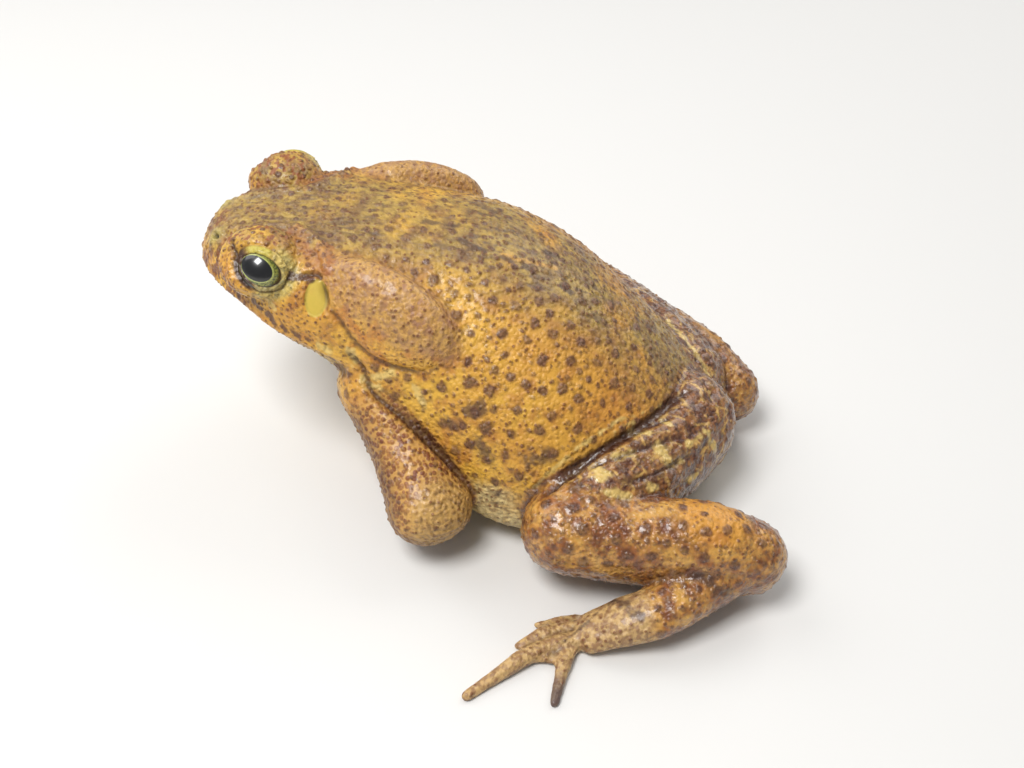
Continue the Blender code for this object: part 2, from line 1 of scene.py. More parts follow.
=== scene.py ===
"""The looks of a cane toad at life size: one warty skin over the whole body, and its two eyes.

The toad's forms are built in its own measurements: millimetres, the floor at 0, the snout towards
-Y and the left side at +X. The finished meshes are then moved onto the frame, in metres.
"""

import math
import random

import bmesh
import bpy
import numpy as np
from mathutils import Euler, Matrix, Vector
from mathutils.kdtree import KDTree


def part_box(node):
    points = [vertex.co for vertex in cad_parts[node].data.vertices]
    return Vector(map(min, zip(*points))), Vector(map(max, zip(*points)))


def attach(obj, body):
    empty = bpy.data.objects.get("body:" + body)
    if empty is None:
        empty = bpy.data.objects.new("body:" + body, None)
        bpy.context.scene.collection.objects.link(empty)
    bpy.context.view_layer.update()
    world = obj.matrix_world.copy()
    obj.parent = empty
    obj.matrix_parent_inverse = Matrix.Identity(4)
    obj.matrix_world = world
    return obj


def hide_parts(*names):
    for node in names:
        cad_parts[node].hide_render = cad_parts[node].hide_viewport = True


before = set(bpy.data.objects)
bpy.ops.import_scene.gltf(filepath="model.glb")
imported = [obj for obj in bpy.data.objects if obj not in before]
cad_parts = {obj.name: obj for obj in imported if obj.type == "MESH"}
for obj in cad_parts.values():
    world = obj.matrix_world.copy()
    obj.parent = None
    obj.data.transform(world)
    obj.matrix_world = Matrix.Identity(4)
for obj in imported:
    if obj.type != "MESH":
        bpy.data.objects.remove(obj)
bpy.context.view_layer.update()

# Camera, light and floor
# A normal lens looks down at the toad from its left side, held a little tilted. The floor is a
# pale sheet, and the light is soft and comes mostly from behind the camera.

MM = 0.001
HEAD_TURN = math.radians(3)
NECK_Y, NECK_SPREAD = -30, 6


def turned(point):
    """Swings what lies in front of the neck with the slight turn of the head."""
    x, y, z = point
    share = min(max((NECK_Y + NECK_SPREAD - y) / (2 * NECK_SPREAD), 0), 1)
    turn = HEAD_TURN * share * share * (3 - 2 * share)
    ahead = y - NECK_Y
    sine, cosine = math.sin(turn), math.cos(turn)
    return Vector((x * cosine - ahead * sine, NECK_Y + x * sine + ahead * cosine, z))


EARDRUM = Vector((25.7, -36.3, 55.8))
ear_low, ear_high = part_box("tympanum_left")
ORIGIN = (ear_low + ear_high) / 2 - turned(EARDRUM) * MM
ORIGIN.z = 0
ONTO_FRAME = Matrix.Translation(ORIGIN) @ Matrix.Scale(MM, 4)

VIEW_TARGET = Vector((7.6, 11.1, 18.1))
VIEW_AZIMUTH, VIEW_ELEVATION, VIEW_ROLL = [math.radians(angle) for angle in (92.5, 42.6, 4)]
VIEW_DISTANCE = 307
FOCAL_PIXELS, IMAGE_WIDTH, SENSOR = 1160, 1024, 36


def add_object(name, data):
    """A new object in the scene."""
    made = bpy.data.objects.new(name, data)
    bpy.context.scene.collection.objects.link(made)
    return made


backward = Vector((
    math.sin(VIEW_AZIMUTH) * math.cos(VIEW_ELEVATION),
    -math.cos(VIEW_AZIMUTH) * math.cos(VIEW_ELEVATION),
    math.sin(VIEW_ELEVATION),
))
level = Vector((math.cos(VIEW_AZIMUTH), math.sin(VIEW_AZIMUTH), 0))
upright = backward.cross(level)
rightward = level * math.cos(VIEW_ROLL) + upright * math.sin(VIEW_ROLL)
upward = upright * math.cos(VIEW_ROLL) - level * math.sin(VIEW_ROLL)
lens = bpy.data.cameras.new("camera")
lens.sensor_width = SENSOR
lens.lens = FOCAL_PIXELS * SENSOR / IMAGE_WIDTH
lens.clip_start = 0.01
camera = add_object("camera", lens)
place = Matrix((rightward, upward, backward)).transposed().to_4x4()
place.translation = ORIGIN + (VIEW_TARGET + backward * VIEW_DISTANCE) * MM
camera.matrix_world = place
bpy.context.scene.camera = camera
bpy.context.scene.view_settings.view_transform = "Standard"


def add_light(name, direction, distance, size, power):
    """A square soft box aimed at the toad."""
    light = bpy.data.lights.new(name, "AREA")
    light.size = size
    light.energy = power
    lamp = add_object(name, light)
    toward = Vector(direction).normalized()
    lamp.location = ORIGIN + VIEW_TARGET * MM + toward * distance
    lamp.rotation_euler = toward.to_track_quat("Z", "Y").to_euler()


add_light("key_light", backward + upward * 0.55 - rightward * 0.35, 0.7, 0.28, 4.4)
add_light("fill_light", (-0.5, -1.0, 1.0), 0.8, 0.6, 2.2)
add_light("rim_light", (-1.0, 0.7, 1.1), 0.8, 0.5, 2.2)
world = bpy.data.worlds.new("studio")
bpy.context.scene.world = world
world.use_nodes = True
background = world.node_tree.nodes["Background"]
background.inputs["Color"].default_value = (1, 1, 1, 1)
background.inputs["Strength"].default_value = 0.3


def new_finish(name):
    """A new material, its tree of nodes and the node of its surface."""
    finish = bpy.data.materials.new(name)
    finish.use_nodes = True
    return finish, finish.node_tree, finish.node_tree.nodes["Principled BSDF"]


bpy.ops.mesh.primitive_plane_add(size=6, location=(0, 0, 0))
floor = bpy.context.object
floor.name = "floor"
floor_finish, _, surface = new_finish("pale_floor")
surface.inputs["Base Color"].default_value = (0.72, 0.71, 0.69, 1)
surface.inputs["Roughness"].default_value = 0.9
floor.data.materials.append(floor_finish)

# Trunk
# The soft body from the snout to the vent, one loft whose sections give place along the body,
# middle, top, bottom, half width, level of the widest point, and squareness above and below it.

TRUNK_SECTIONS = (
    (-68.7, -1, 52, 48, 1.3, 50, 2, 2),
    (-67.5, -1, 55.2, 45.2, 6.8, 50, 2.2, 2),
    (-63.8, -0.8, 58.7, 41.5, 12.3, 49.8, 2.5, 1.9),
    (-56.5, -0.4, 61.2, 37.4, 18.5, 48.8, 2.8, 1.75),
    (-47, 0, 62.6, 32.5, 24.8, 46.5, 3, 1.7),
    (-36, 0, 63.7, 27.5, 29, 44, 3.1, 1.75),
    (-24, 0, 64.5, 19, 32, 37, 2.3, 2),
    (-10, 0.5, 64.5, 6, 37.5, 24, 2.05, 2.3),
    (6, 2, 62.7, -0.6, 43.5, 12.5, 2, 2.6),
    (24, 5, 55.6, -0.8, 43.5, 11, 1.95, 2.6),
    (42, 8.5, 43.5, -0.8, 35, 11, 1.9, 2.5),
    (54.5, 9.5, 32.5, -0.6, 25.5, 11.5, 1.9, 2.3),
    (63.5, 9, 24.5, 2, 17.5, 12, 2, 2.1),
    (69, 8.5, 18, 7, 9.5, 12.5, 2, 2),
    (70.8, 8.5, 14.5, 10.5, 2, 12.5, 2, 2),
)
TRUNK_RINGS, TRUNK_SIDES = 170, 128
forms = []


def curve_through(values, count):
    """Values spread evenly along a smooth curve through the given rows."""
    rows = np.array(values, float)
    ends = np.vstack([2 * rows[0] - rows[1], rows, 2 * rows[-1] - rows[-2]])
    spread = []
    for t in np.linspace(0, len(rows) - 1, count):
        i = min(int(t), len(rows) - 2)
        a, b, c, d = ends[i : i + 4]
        u = t - i
        bend, twist = 2 * a - 5 * b + 4 * c - d, 3 * b - a - 3 * c + d
        spread.append(0.5 * (2 * b + (c - a) * u + bend * u**2 + twist * u**3))
    return np.array(spread)


def add_form(rings):
    """Keeps a closed body through rings of equal point counts, for the skin to be drawn over."""
    rings = np.array(rings, float)
    count, sides = rings.shape[:2]
    points = np.vstack([rings.reshape(-1, 3), rings[0].mean(axis=0), rings[-1].mean(axis=0)])
    faces = []
    for j in range(sides):
        k = (j + 1) % sides
        for i in range(0, (count - 1) * sides, sides):
            faces.append((i + j, i + k, i + sides + k, i + sides + j))
        faces.append((count * sides, k, j))
        faces.append((count * sides + 1, (count - 1) * sides + j, (count - 1) * sides + k))
    forms.append((points, faces))


rings = []
for y, middle, top, bottom, half_width, widest, above, below in curve_through(TRUNK_SECTIONS, TRUNK_RINGS):
    ring = []
    for angle in np.linspace(0, 2 * math.pi, TRUNK_SIDES, endpoint=False):
        c, s = math.cos(angle), math.sin(angle)
        reach, power = (top - widest, 2 / above) if s > 0 else (widest - bottom, 2 / below)
        aside = math.copysign(abs(c) ** power, c) * half_width
        rise = math.copysign(abs(s) ** power, s) * reach
        ring.append(turned((middle + aside, y, widest + rise)))
    rings.append(ring)
add_form(rings)

# Eye mounds and poison glands
# The bony mounds over the eyes, and the long glands behind them that hold the poison.

LEFT, RIGHT = SIDES = (1, -1)
EYE_CENTRE = Vector((20.3, -49.2, 59.3))
EYE_RADIUS = 6.0
LID_COVER = 0.9
LID_CENTRE, LID_RADII = Vector((17.5, -50.7, 58.9)), Vector((9.2, 9.5, 7.8))
GLAND_CENTRE, GLAND_RADII = Vector((25.2, -19.8, 51.8)), Vector((6.6, 20.0, 12.1))
GLAND_TURN = Euler([math.radians(angle) for angle in (-17.5, -10, -19.5)], "ZYX")


def across(point, side):
    """The point as it is on the left, or mirrored to the right side."""
    return Vector((point[0] * side, point[1], point[2]))


def on_head(point, side):
    """The point on the left or right of the turned head."""
    return turned(across(point, side))


def add_ball(centre, radii, turn, side, to_body, rows=42, sides=60):
    """An ellipsoid form, turned and then placed on the left or right side."""
    rings = []
    for lift in np.linspace(-math.pi / 2, math.pi / 2, rows)[1:-1]:
        ring = []
        flat = math.cos(lift)
        for angle in np.linspace(0, 2 * math.pi, sides, endpoint=False):
            spot = Vector((math.cos(angle) * flat, math.sin(angle) * flat, math.sin(lift)))
            spot = turn @ Vector(a * b for a, b in zip(spot, radii)) + centre
            ring.append(to_body(spot, side))
        rings.append(ring)
    add_form(rings)


for side in SIDES:
    add_ball(LID_CENTRE, LID_RADII, Matrix.Identity(3), side, on_head)
    add_ball(EYE_CENTRE, Vector((1, 1, 1)) * (EYE_RADIUS + LID_COVER), Matrix.Identity(3), side, on_head)
    add_ball(GLAND_CENTRE, GLAND_RADII, GLAND_TURN.to_matrix(), side, across)

# Arms and hands
# The arms are bowed outwards, and the hands turn in under the chest. Each hand has four free
# fingers, given from the innermost out by the root's place across the palm, the knuckle's and the
# tip's places along and across it, and half the thickness.

SHOULDER = Vector((27.0, -22.0, 31.0))
ELBOW = Vector((49.6, -4.8, 14.0))
WRIST = Vector((19.0, -16.5, 6.0))
HAND_HEADINGS = {LEFT: math.radians(198), RIGHT: math.radians(-68)}
FINGERS = (
    (-3.2, 8.5, -6, 14.5, -11, 2.1),
    (-1.2, 10.5, -3, 18.5, -5, 2.1),
    (1, 11, 1.5, 21, 3, 2.2),
    (3, 9, 5.5, 15.5, 10, 2),
)
SOLE_DEPTH = 0.35
digit_paths = {}


def add_tube(stations, sides=40, rings=44):
    """A limb form with rounded ends: stations are (centre, half width, half height)."""
    path = curve_through([(*centre, wide, high) for centre, wide, high in stations], rings)
    centres = [Vector(row[:3]) for row in path]
    made = []

    def add_ring(centre, along, wide, high):
        side = along.cross(Vector((0, 0, 1))).normalized()
        rise = side.cross(along).normalized()
        turns = [2 * math.pi * j / sides for j in range(sides)]
        made.append([centre + side * wide * math.cos(t) + rise * high * math.sin(t) for t in turns])

    start = (centres[1] - centres[0]).normalized()
    end = (centres[-1] - centres[-2]).normalized()
    caps = [math.radians(angle) for angle in (80, 65, 50, 35, 20)]
    wide, high = path[0][3:]
    for angle in caps:
        centre = centres[0] - start * high * math.sin(angle)
        add_ring(centre, start, wide * math.cos(angle), high * math.cos(angle))
    for i, centre in enumerate(centres):
        along = centres[min(i + 1, rings - 1)] - centres[max(i - 1, 0)]
        add_ring(centre, along.normalized(), *path[i][3:])
    wide, high = path[-1][3:]
    for angle in reversed(caps):
        centre = centres[-1] + end * high * math.sin(angle)
        add_ring(centre, end, wide * math.cos(angle), high * math.cos(angle))
    add_form(made)


def digit_path(start, ahead, side, root, knuckle_along, knuckle_across, tip_along, tip_across):
    """Places on the floor along one toe or finger, as a smooth curve from root to tip."""
    outer = Vector((-ahead.y, ahead.x, 0)) * side
    middle = (knuckle_along * 0.4, root * 0.6 + knuckle_across * 0.4)
    places = [(0, root), middle, (knuckle_along, knuckle_across), (tip_along, tip_across)]
    return [start + ahead * along + outer * out for along, out in curve_through(places, 25)]


def add_digit(path, thick):
    """A toe or finger lying on the floor, with swollen joints and a blunt, rounded tip."""
    shape = (
        (0, 1.25, 2.2), (0.3, 1.05, 1.1), (0.45, 0.9, 0.6), (0.55, 0.96, 0.35),
        (0.64, 0.86, 0.2), (0.74, 1, 0.15), (0.86, 0.76, 0.1), (1, 0.6, 0),
    )
    stations = []
    for share, swell, lift in shape:
        centre = path[round(share * (len(path) - 1))].copy()
        centre.z = thick * swell * 0.9 + lift - SOLE_DEPTH
        stations.append((centre, thick * swell, thick * swell * 0.9))
    add_tube(stations, sides=20, rings=50)


def add_paw(tag, start, heading, side, digits, root_size, ball_size):
    """The sole or palm and its digits."""
    ahead = Vector((math.cos(heading), math.sin(heading), 0))
    floor_start = Vector((start.x, start.y, 0))
    front = floor_start + ahead * 8 + Vector((0, 0, ball_size[1] - SOLE_DEPTH))
    add_tube([(start, *root_size), (front, *ball_size)])
    paths = []
    for *places, thick in digits:
        paths.append(digit_path(floor_start, ahead, side, *places))
        add_digit(paths[-1], thick)
    digit_paths[tag] = paths


for side in SIDES:
    shoulder, elbow, wrist = (across(joint, side) for joint in (SHOULDER, ELBOW, WRIST))
    add_tube([(shoulder, 9, 9), (shoulder.lerp(elbow, 0.5), 7.9, 7.9), (elbow, 10.6, 9.0)])
    add_tube([
        (elbow, 10.6, 9.0), (elbow.lerp(wrist, 0.35), 8.8, 8.2),
        (elbow.lerp(wrist, 0.75), 6.0, 5.6), (wrist, 4.8, 4.4),
    ])
    add_paw(("hand", side), wrist, HAND_HEADINGS[side], side, FINGERS, (4.6, 4.0), (5.4, 2.6))

# Legs and webbed feet
# Thigh, shank and tarsus fold like a Z beside the body. Five toes, the fourth by far the longest,
# are joined by thin webs for the greater part of their length.

TOES = (
    (-3.4, 8, -5, 12.5, -6.8, 1.4),
    (-2.8, 11.5, -4.8, 18.5, -5.6, 1.6),
    (-2, 15.5, -2.8, 24, -0.4, 1.9),
    (-0.4, 20, 2.1, 38, 10.8, 2.2),
    (1.2, 12.5, 2.8, 19, 15.5, 1.9),
)
WEB_THICKNESS = 1.2
WEB_START, WEB_REACH, WEB_DRAWN_BACK = 0.15, 0.8, 0.04
WEB_EDGE_HEIGHT, WEB_ROOT_RISE = 1.2, 1.8
FOOT_HEADING = math.radians(-74)
LEG_JOINTS = {
    LEFT: ((17, 55.5, 19), (53.5, 28, 15.5), (53.5, 71, 12.5), (68, 52, 8), (71, 43, 5.3)),
    RIGHT: ((-2.5, 55, 17), (-36, 31, 16), (-6, 69.5, 11.5), (-23, 56, 6), (-33, 47, 4.7)),
}
FAR_LEG_SLIM = 0.92
legs = {side: [Vector(joint) for joint in joints] for side, joints in LEG_JOINTS.items()}


def add_web(first, second):
    """Thin skin between two toes, its edge drawn back in a curve."""
    columns, rows = 15, 18
    layers = []
    for lift in (WEB_THICKNESS / 2, -WEB_THICKNESS / 2):
        for i in range(rows):
            for j in range(columns):
                share = j / (columns - 1)
                drawn_back = 1 - WEB_DRAWN_BACK * math.sin(math.pi * share)
                outward = WEB_START + (1 - WEB_START) * i / (rows - 1)
                at = WEB_REACH * drawn_back * outward * (len(first) - 1)
                k, part = int(at), at - int(at)
                spot = (first[k].lerp(first[k + 1], part)).lerp(second[k].lerp(second[k + 1], part), share)
                height = WEB_EDGE_HEIGHT + WEB_ROOT_RISE * (1 - i / (rows - 1)) + lift
                layers.append((spot.x, spot.y, height))
    size = rows * columns
    faces = []
    for i in range(rows - 1):
        for j in range(columns - 1):
            k = i * columns + j
            faces.append((k, k + 1, k + columns + 1, k + columns))
            faces.append((size + k, size + k + columns, size + k + columns + 1, size + k + 1))
    rim = [*range(columns), *range(2 * columns - 1, size, columns)]
    rim += [*range(size - 2, size - columns - 1, -1), *range(size - 2 * columns, 0, -columns)]
    faces += [(a, size + a, size + b, b) for a, b in zip(rim, rim[1:] + rim[:1])]
    forms.append((np.array(layers), faces))


for side, (hip, knee, heel, middle, instep) in legs.items():
    slim = 1.0 if side == LEFT else FAR_LEG_SLIM
    heading = FOOT_HEADING if side == LEFT else math.pi - FOOT_HEADING
    add_tube([
        (hip, 14 * slim, 14 * slim), (hip.lerp(knee, 0.5), 14.2 * slim, 14.2 * slim), (knee, 10.5, 10.5),
    ])
    calf = knee.lerp(heel, 0.75) + Vector((0, 0, 1.8))
    add_tube([
        (knee, 10.5, 10.5), (knee.lerp(heel, 0.4), 10.2, 11.2),
        (calf, 9.8 * slim, 11.2 * slim), (heel, 8.8 * slim, 10 * slim),
    ])
    add_tube([
        (heel, 8 * slim, 7.6 * slim), (heel.lerp(middle, 0.45), 7, 6.4),
        (middle, 6.5, 5.4), (instep, 6.2, 4.4),
    ])
    add_paw(("foot", side), instep, heading, side, TOES, (6.0, 4.2), (5.2, 2.8))
    toes = digit_paths["foot", side]
    for first, second in zip(toes[:-1], toes[1:]):
        add_web(first, second)

# Skin
# One skin over all those forms: they are fused, the joins are softened, and the head is divided
# finer than the rest.

CELL = 0.45
GLAND_RIM, GLAND_RIM_SPREAD = 1.03, 0.12


def vectors_of(items, name):
    """The named vector of every item, a row each."""
    values = np.empty(len(items) * 3, np.float32)
    items.foreach_get(name, values)
    return values.reshape(-1, 3).astype(float)


def place_points():
    """Moves the skin's vertices to the points."""
    skin.data.vertices.foreach_set("co", points.astype(np.float32).ravel())
    skin.data.update()


def edges_of(mesh):
    """Both ends of every edge, and the number of edges that meet at each point."""
    ends = np.empty(len(mesh.edges) * 2, np.int32)
    mesh.edges.foreach_get("vertices", ends)
    return ends[::2], ends[1::2], np.bincount(ends, minlength=len(mesh.vertices))


def averaged(values):
    """The mean of each row of values over its neighbours on the skin."""
    a, b, degree = edges
    count = len(degree)
    columns = [np.bincount(a, v[b], count) + np.bincount(b, v[a], count) for v in values.T]
    return np.stack(columns, 1) / degree[:, None]


def soften(share, passes):
    """Draws every point by a share towards the mean of its neighbours."""
    global points
    for _ in range(passes):
        points = points + share * (averaged(points) - points)


def gland_reach(side):
    """How far each point is from the middle of a gland, 1 at its surface."""
    turn = np.array(GLAND_TURN.to_matrix())
    local = (points * (side, 1, 1) - np.array(GLAND_CENTRE)) @ turn / np.array(GLAND_RADII)
    return np.linalg.norm(local, axis=1)


all_points, all_faces, offset = [], [], 0
for points, faces in forms:
    all_points.append(points)
    all_faces += [tuple(i + offset for i in face) for face in faces]
    offset += len(points)
mesh = bpy.data.meshes.new("skin")
mesh.from_pydata(np.vstack(all_points).tolist(), [], all_faces)
shape = bmesh.new()
shape.from_mesh(mesh)
bmesh.ops.recalc_face_normals(shape, faces=shape.faces)
shape.to_mesh(mesh)
shape.free()
skin = add_object("skin", mesh)
fused = skin.modifiers.new("fused", "REMESH")
fused.mode = "VOXEL"
fused.voxel_size = CELL
bpy.context.view_layer.update()
evaluated = skin.evaluated_get(bpy.context.evaluated_depsgraph_get())
mesh = bpy.data.meshes.new_from_object(evaluated)
skin.modifiers.clear()
skin.data = mesh

edges = edges_of(skin.data)
points = vectors_of(skin.data.vertices, "co")
soften(np.clip(0.15 + points[:, 2:] / 20, 0.15, 0.6), passes=7)
above = np.clip((points[:, 2] + 0.3 * points[:, 1] - 43) / 4, 0, 1)
gland_rim = np.zeros(len(points))
for side in SIDES:
    rim = np.exp(-(((gland_reach(side) - GLAND_RIM) / GLAND_RIM_SPREAD) ** 2)) * above
    gland_rim = np.maximum(gland_rim, rim)
soften(0.7 * np.where(gland_rim > 0.02, gland_rim, 0)[:, None], passes=30)
place_points()


def divide(obj, wanted):
    """Splits the wanted faces in four."""
    shape = bmesh.new()
    shape.from_mesh(obj.data)
    edges = {edge for face in shape.faces if wanted(face.calc_center_median()) for edge in face.edges}
    bmesh.ops.subdivide_edges(shape, edges=list(edges), cuts=1, use_grid_fill=True, smooth=0)
    shape.to_mesh(obj.data)
    shape.free()


def near_an_eye(spot):
    return any((spot - on_head(EYE_CENTRE, side)).length < 11 for side in SIDES)


divide(skin, lambda spot: spot.y < NECK_Y - 2)
divide(skin, near_an_eye)
edges = edges_of(skin.data)
points = vectors_of(skin.data.vertices, "co")
soften(0.6, passes=3)
place_points()

# Head
# Bone lies close under the skin here: low crests frame the crown, the lids stand on mounds, and
# the eardrum is a thin, smooth disc. Lips, nostrils and lids are folds of the same skin.

LOOK = Vector((0.844, 0.056, 0.53)).normalized()
EYE_TILT = math.radians(28)
OPENING_LONG, OPENING_SHORT = math.radians(54), math.radians(34)
CREASE_BEARING = math.radians(36)
EARDRUM_FACES = Vector((0.76, -0.12, 0.60)).normalized()
EARDRUM_WIDE, EARDRUM_HIGH, EARDRUM_DEPTH = 2.8, 4.7, 4
LID_RADIUS, MOUND_RADIUS = 6.4, 6.75
UPPER_LID_LIFT, UPPER_LID_WIDTH = 0.62, 2.35
LOWER_LID_LIFT, LOWER_LID_WIDTH = 0.42, 1.75
BROW_CENTRE, BROW_RADII = Vector((14, -49, 62.5)), (5, 9, 5)
NOSTRIL, NOSTRIL_ALONG = Vector((6.6, -63.5, 57.8)), Vector((0.72, 0.69, 0.0))
MOUTH = ((0, -69.2, 48.4), (9, -66.0, 48), (18.3, -56.8, 46.1), (25, -46, 43.4), (29.5, -31, 40.2))
CREST = (
    (5.5, -63.5, 58.8), (7, -58, 61), (7.5, -50, 62.6), (8.2, -44, 63.2),
    (11, -39.6, 63.4), (15, -36.6, 63), (20, -34.4, 61.6), (23, -33.4, 59.8),
)
FRONT_CREASE = (
    (16.1, -57.5, 63.8), (17.9, -56.5, 63.8), (19.7, -55.8, 63.7), (20.8, -55, 62.5), (22.9, -53.9, 61.6),
    (25, -52.3, 60.7), (26.1, -51.1, 59.7), (26.6, -50, 58.7),
)
EAR_GROOVE = ((25, -43, 60), (24, -41, 60.2), (22.4, -39, 60), (22.5, -36.5, 60.2), (23.4, -34.8, 59.6))
points = vectors_of(skin.data.vertices, "co")
normals = vectors_of(skin.data.vertex_normals, "vector")
paint = {}


def rising(values, low, high):
    """0 below the low value, 1 above the high one, and a soft rise between them."""
    share = np.clip((values - low) / (high - low), 0, 1)
    return share * share * (3 - 2 * share)


def falling(values, low, high):
    """1 below the low value, 0 above the high one, and a soft fall between them."""
    return 1 - rising(values, low, high)


def fades_at_ends(along, full, fading):
    """1 between two places on a line, and softly down to 0 at both its ends."""
    return rising(along, 0, full) * falling(along, fading, 1)


def distance_to_path(path, within=8):
    """Each point's distance to a line through several places, and how far along it is, from 0 to 1."""
    corners = np.array([tuple(corner) for corner in path])
    low, high = corners.min(axis=0) - within, corners.max(axis=0) + within
    near = np.flatnonzero(np.all((points > low) & (points < high), axis=1))
    close = points[near]
    best, along = np.full(len(near), 1e3), np.zeros(len(near))
    for i, (a, b) in enumerate(zip(corners[:-1], corners[1:])):
        t = np.clip((close - a) @ (b - a) / max((b - a) @ (b - a), 1e-9), 0, 1)
        reach = np.linalg.norm(close - a - t[:, None] * (b - a), axis=1)
        along = np.where(reach < best, (i + t) / (len(corners) - 1), along)
        best = np.minimum(reach, best)
    all_reach, all_along = np.full(len(points), 1e3), np.zeros(len(points))
    all_reach[near], all_along[near] = best, along
    return all_reach, all_along


def smooth_path(places, side, to_body=on_head, count=24):
    """A smooth line through places given for the left side, as it lies on that side of the toad."""
    return [to_body(place, side) for place in curve_through(places, count)]


def bell(values, width):
    return np.exp(-((values / width) ** 2))


def raise_skin(height):
    """Lifts every point along its normal by its own height."""
    global points
    points = points + normals * height[:, None]


def mark(name, share):
    """Adds to a named mask, which the finish reads later."""
    paint[name] = np.maximum(paint.get(name, np.zeros(len(points))), share)


def refresh_normals():
    global normals
    place_points()
    normals = vectors_of(skin.data.vertex_normals, "vector")


def aimed(direction, side):
    """The direction as it is on the left or right of the turned head."""
    return Matrix.Rotation(HEAD_TURN, 3, "Z") @ across(direction, side)


def eye_axes(side):
    """The way an eye looks, and the long and short axes of its opening."""
    ahead = Vector((LOOK.y, -LOOK.x, 0)).normalized()
    top = ahead.cross(LOOK)
    long_axis = ahead * math.cos(EYE_TILT) + top * math.sin(EYE_TILT)
    short_axis = top * math.cos(EYE_TILT) - ahead * math.sin(EYE_TILT)
    return [np.array(aimed(axis, side)) for axis in (LOOK, long_axis, short_axis)]


for side in SIDES:
    reach, along = distance_to_path(smooth_path(CREST, side))
    ends = fades_at_ends(along, 0.12, 0.9)
    brow_reach = np.linalg.norm((points - np.array(on_head(BROW_CENTRE, side))) / BROW_RADII, axis=1)
    raise_skin(bell(reach, 1.3) * ends + 0.8 * bell(brow_reach, 1))
    # The crest's dark line is partly painted shadow below the ridge, partly its own purple-brown colour.
    mark("crest", 0.8 * bell(reach, 0.9) * ends)

refresh_normals()
for side in SIDES:
    centre = np.array(on_head(EYE_CENTRE, side))
    look, long_axis, short_axis = eye_axes(side)
    reach = np.linalg.norm(points - centre, axis=1)
    near = np.flatnonzero(reach < 14)
    rays = (points[near] - centre) / reach[near, None]
    turn_off = np.arccos(np.clip(rays @ look, -1, 1))
    bearing = np.arctan2(rays @ short_axis, rays @ long_axis)
    edge = 1 / np.hypot(np.cos(bearing) / OPENING_LONG, np.sin(bearing) / OPENING_SHORT)
    off_edge = (turn_off - edge) * LID_RADIUS
    outside = np.maximum(off_edge, 0)
    upper = rising(np.sin(bearing + 0.12), -0.3, 0.35)
    front = rising(np.cos(bearing + CREASE_BEARING), 0.3, 0.7)
    old = reach[near]
    facing = rising(np.sum(normals[near] * rays, axis=1), 0.15, 0.55)
    limit = MOUND_RADIUS + 0.5 * outside
    trimmed = np.maximum(-np.logaddexp(-old * 2.5, -limit * 2.5) / 2.5, EYE_RADIUS + 0.4)
    upper_lid = EYE_RADIUS + UPPER_LID_LIFT * (1 - np.exp(-outside / 0.3)) + 0.1 * outside
    upper_lid = upper_lid - 0.3 * bell(off_edge - UPPER_LID_WIDTH, 0.32)
    lower_lid = EYE_RADIUS + LOWER_LID_LIFT * (1 - np.exp(-outside / 0.22))
    lower_lid = lower_lid - 0.3 * bell(off_edge - LOWER_LID_WIDTH, 0.5)
    with_upper = upper_lid + (trimmed - upper_lid) * rising(off_edge, 2.3, 3.3)
    with_lower = lower_lid + (trimmed - lower_lid) * rising(off_edge, 1.75, 3.0)
    made = with_lower + (with_upper - with_lower) * upper - 0.5 * bell(off_edge - 1.2, 0.6) * front
    made = np.where(off_edge < 0, np.maximum(EYE_RADIUS + 1.5 * off_edge, EYE_RADIUS - 1.2), made)
    fades = falling(off_edge, 3.5, 6) * np.maximum(facing, falling(off_edge, 0.5, 1.5))
    points[near] = centre + rays * (old + (made - old) * fades)[:, None]
    reach = np.linalg.norm(points[near] - centre, axis=1)
    seen_off = reach * np.sin(np.minimum(turn_off, math.pi / 2)) - EYE_RADIUS * np.sin(edge)
    rear = rising(np.abs(bearing), 1.45, 2.0)
    # The eye crease mask is painted shade: in the crease before the eye, along the lower lid's outer edge,
    # and as a dark line where the lids meet the eyeball.
    for name, share in (
        ("lid", falling(seen_off, 1.7, 2.1) * upper * (1 - rear) * (1 - front)),
        ("pale_lid", falling(seen_off, 2.6, 4.8) * rear),
        ("lower_lid", falling(seen_off, 0.9, 1.3) * (1 - upper) * (1 - front) * (1 - 0.6 * rear)),
        ("eye_crease_shade", rising(seen_off, -1.3, -0.8) * falling(seen_off, 1.7, 2.5) * front),
        ("eye_crease_shade", 0.8 * bell(seen_off - 1.45, 0.3) * (1 - upper)),
        ("eye_crease_shade", bell(seen_off, 0.22)),
        ("brow", rising(seen_off, 2.2, 2.8) * falling(seen_off, 7, 9) * upper * (1 - 0.7 * rear)),
    ):
        everywhere = np.zeros(len(points))
        everywhere[near] = share
        mark(name, everywhere)
    # The front crease over the eye is sunk, and painted dark as shade.
    reach, along = distance_to_path(smooth_path(FRONT_CREASE, side))
    shaded_crease = bell(reach, 0.75) * fades_at_ends(along, 0.12, 0.9)
    raise_skin(-0.7 * shaded_crease * falling(along, 0.3, 0.5))
    mark("eye_crease_shade", shaded_crease)

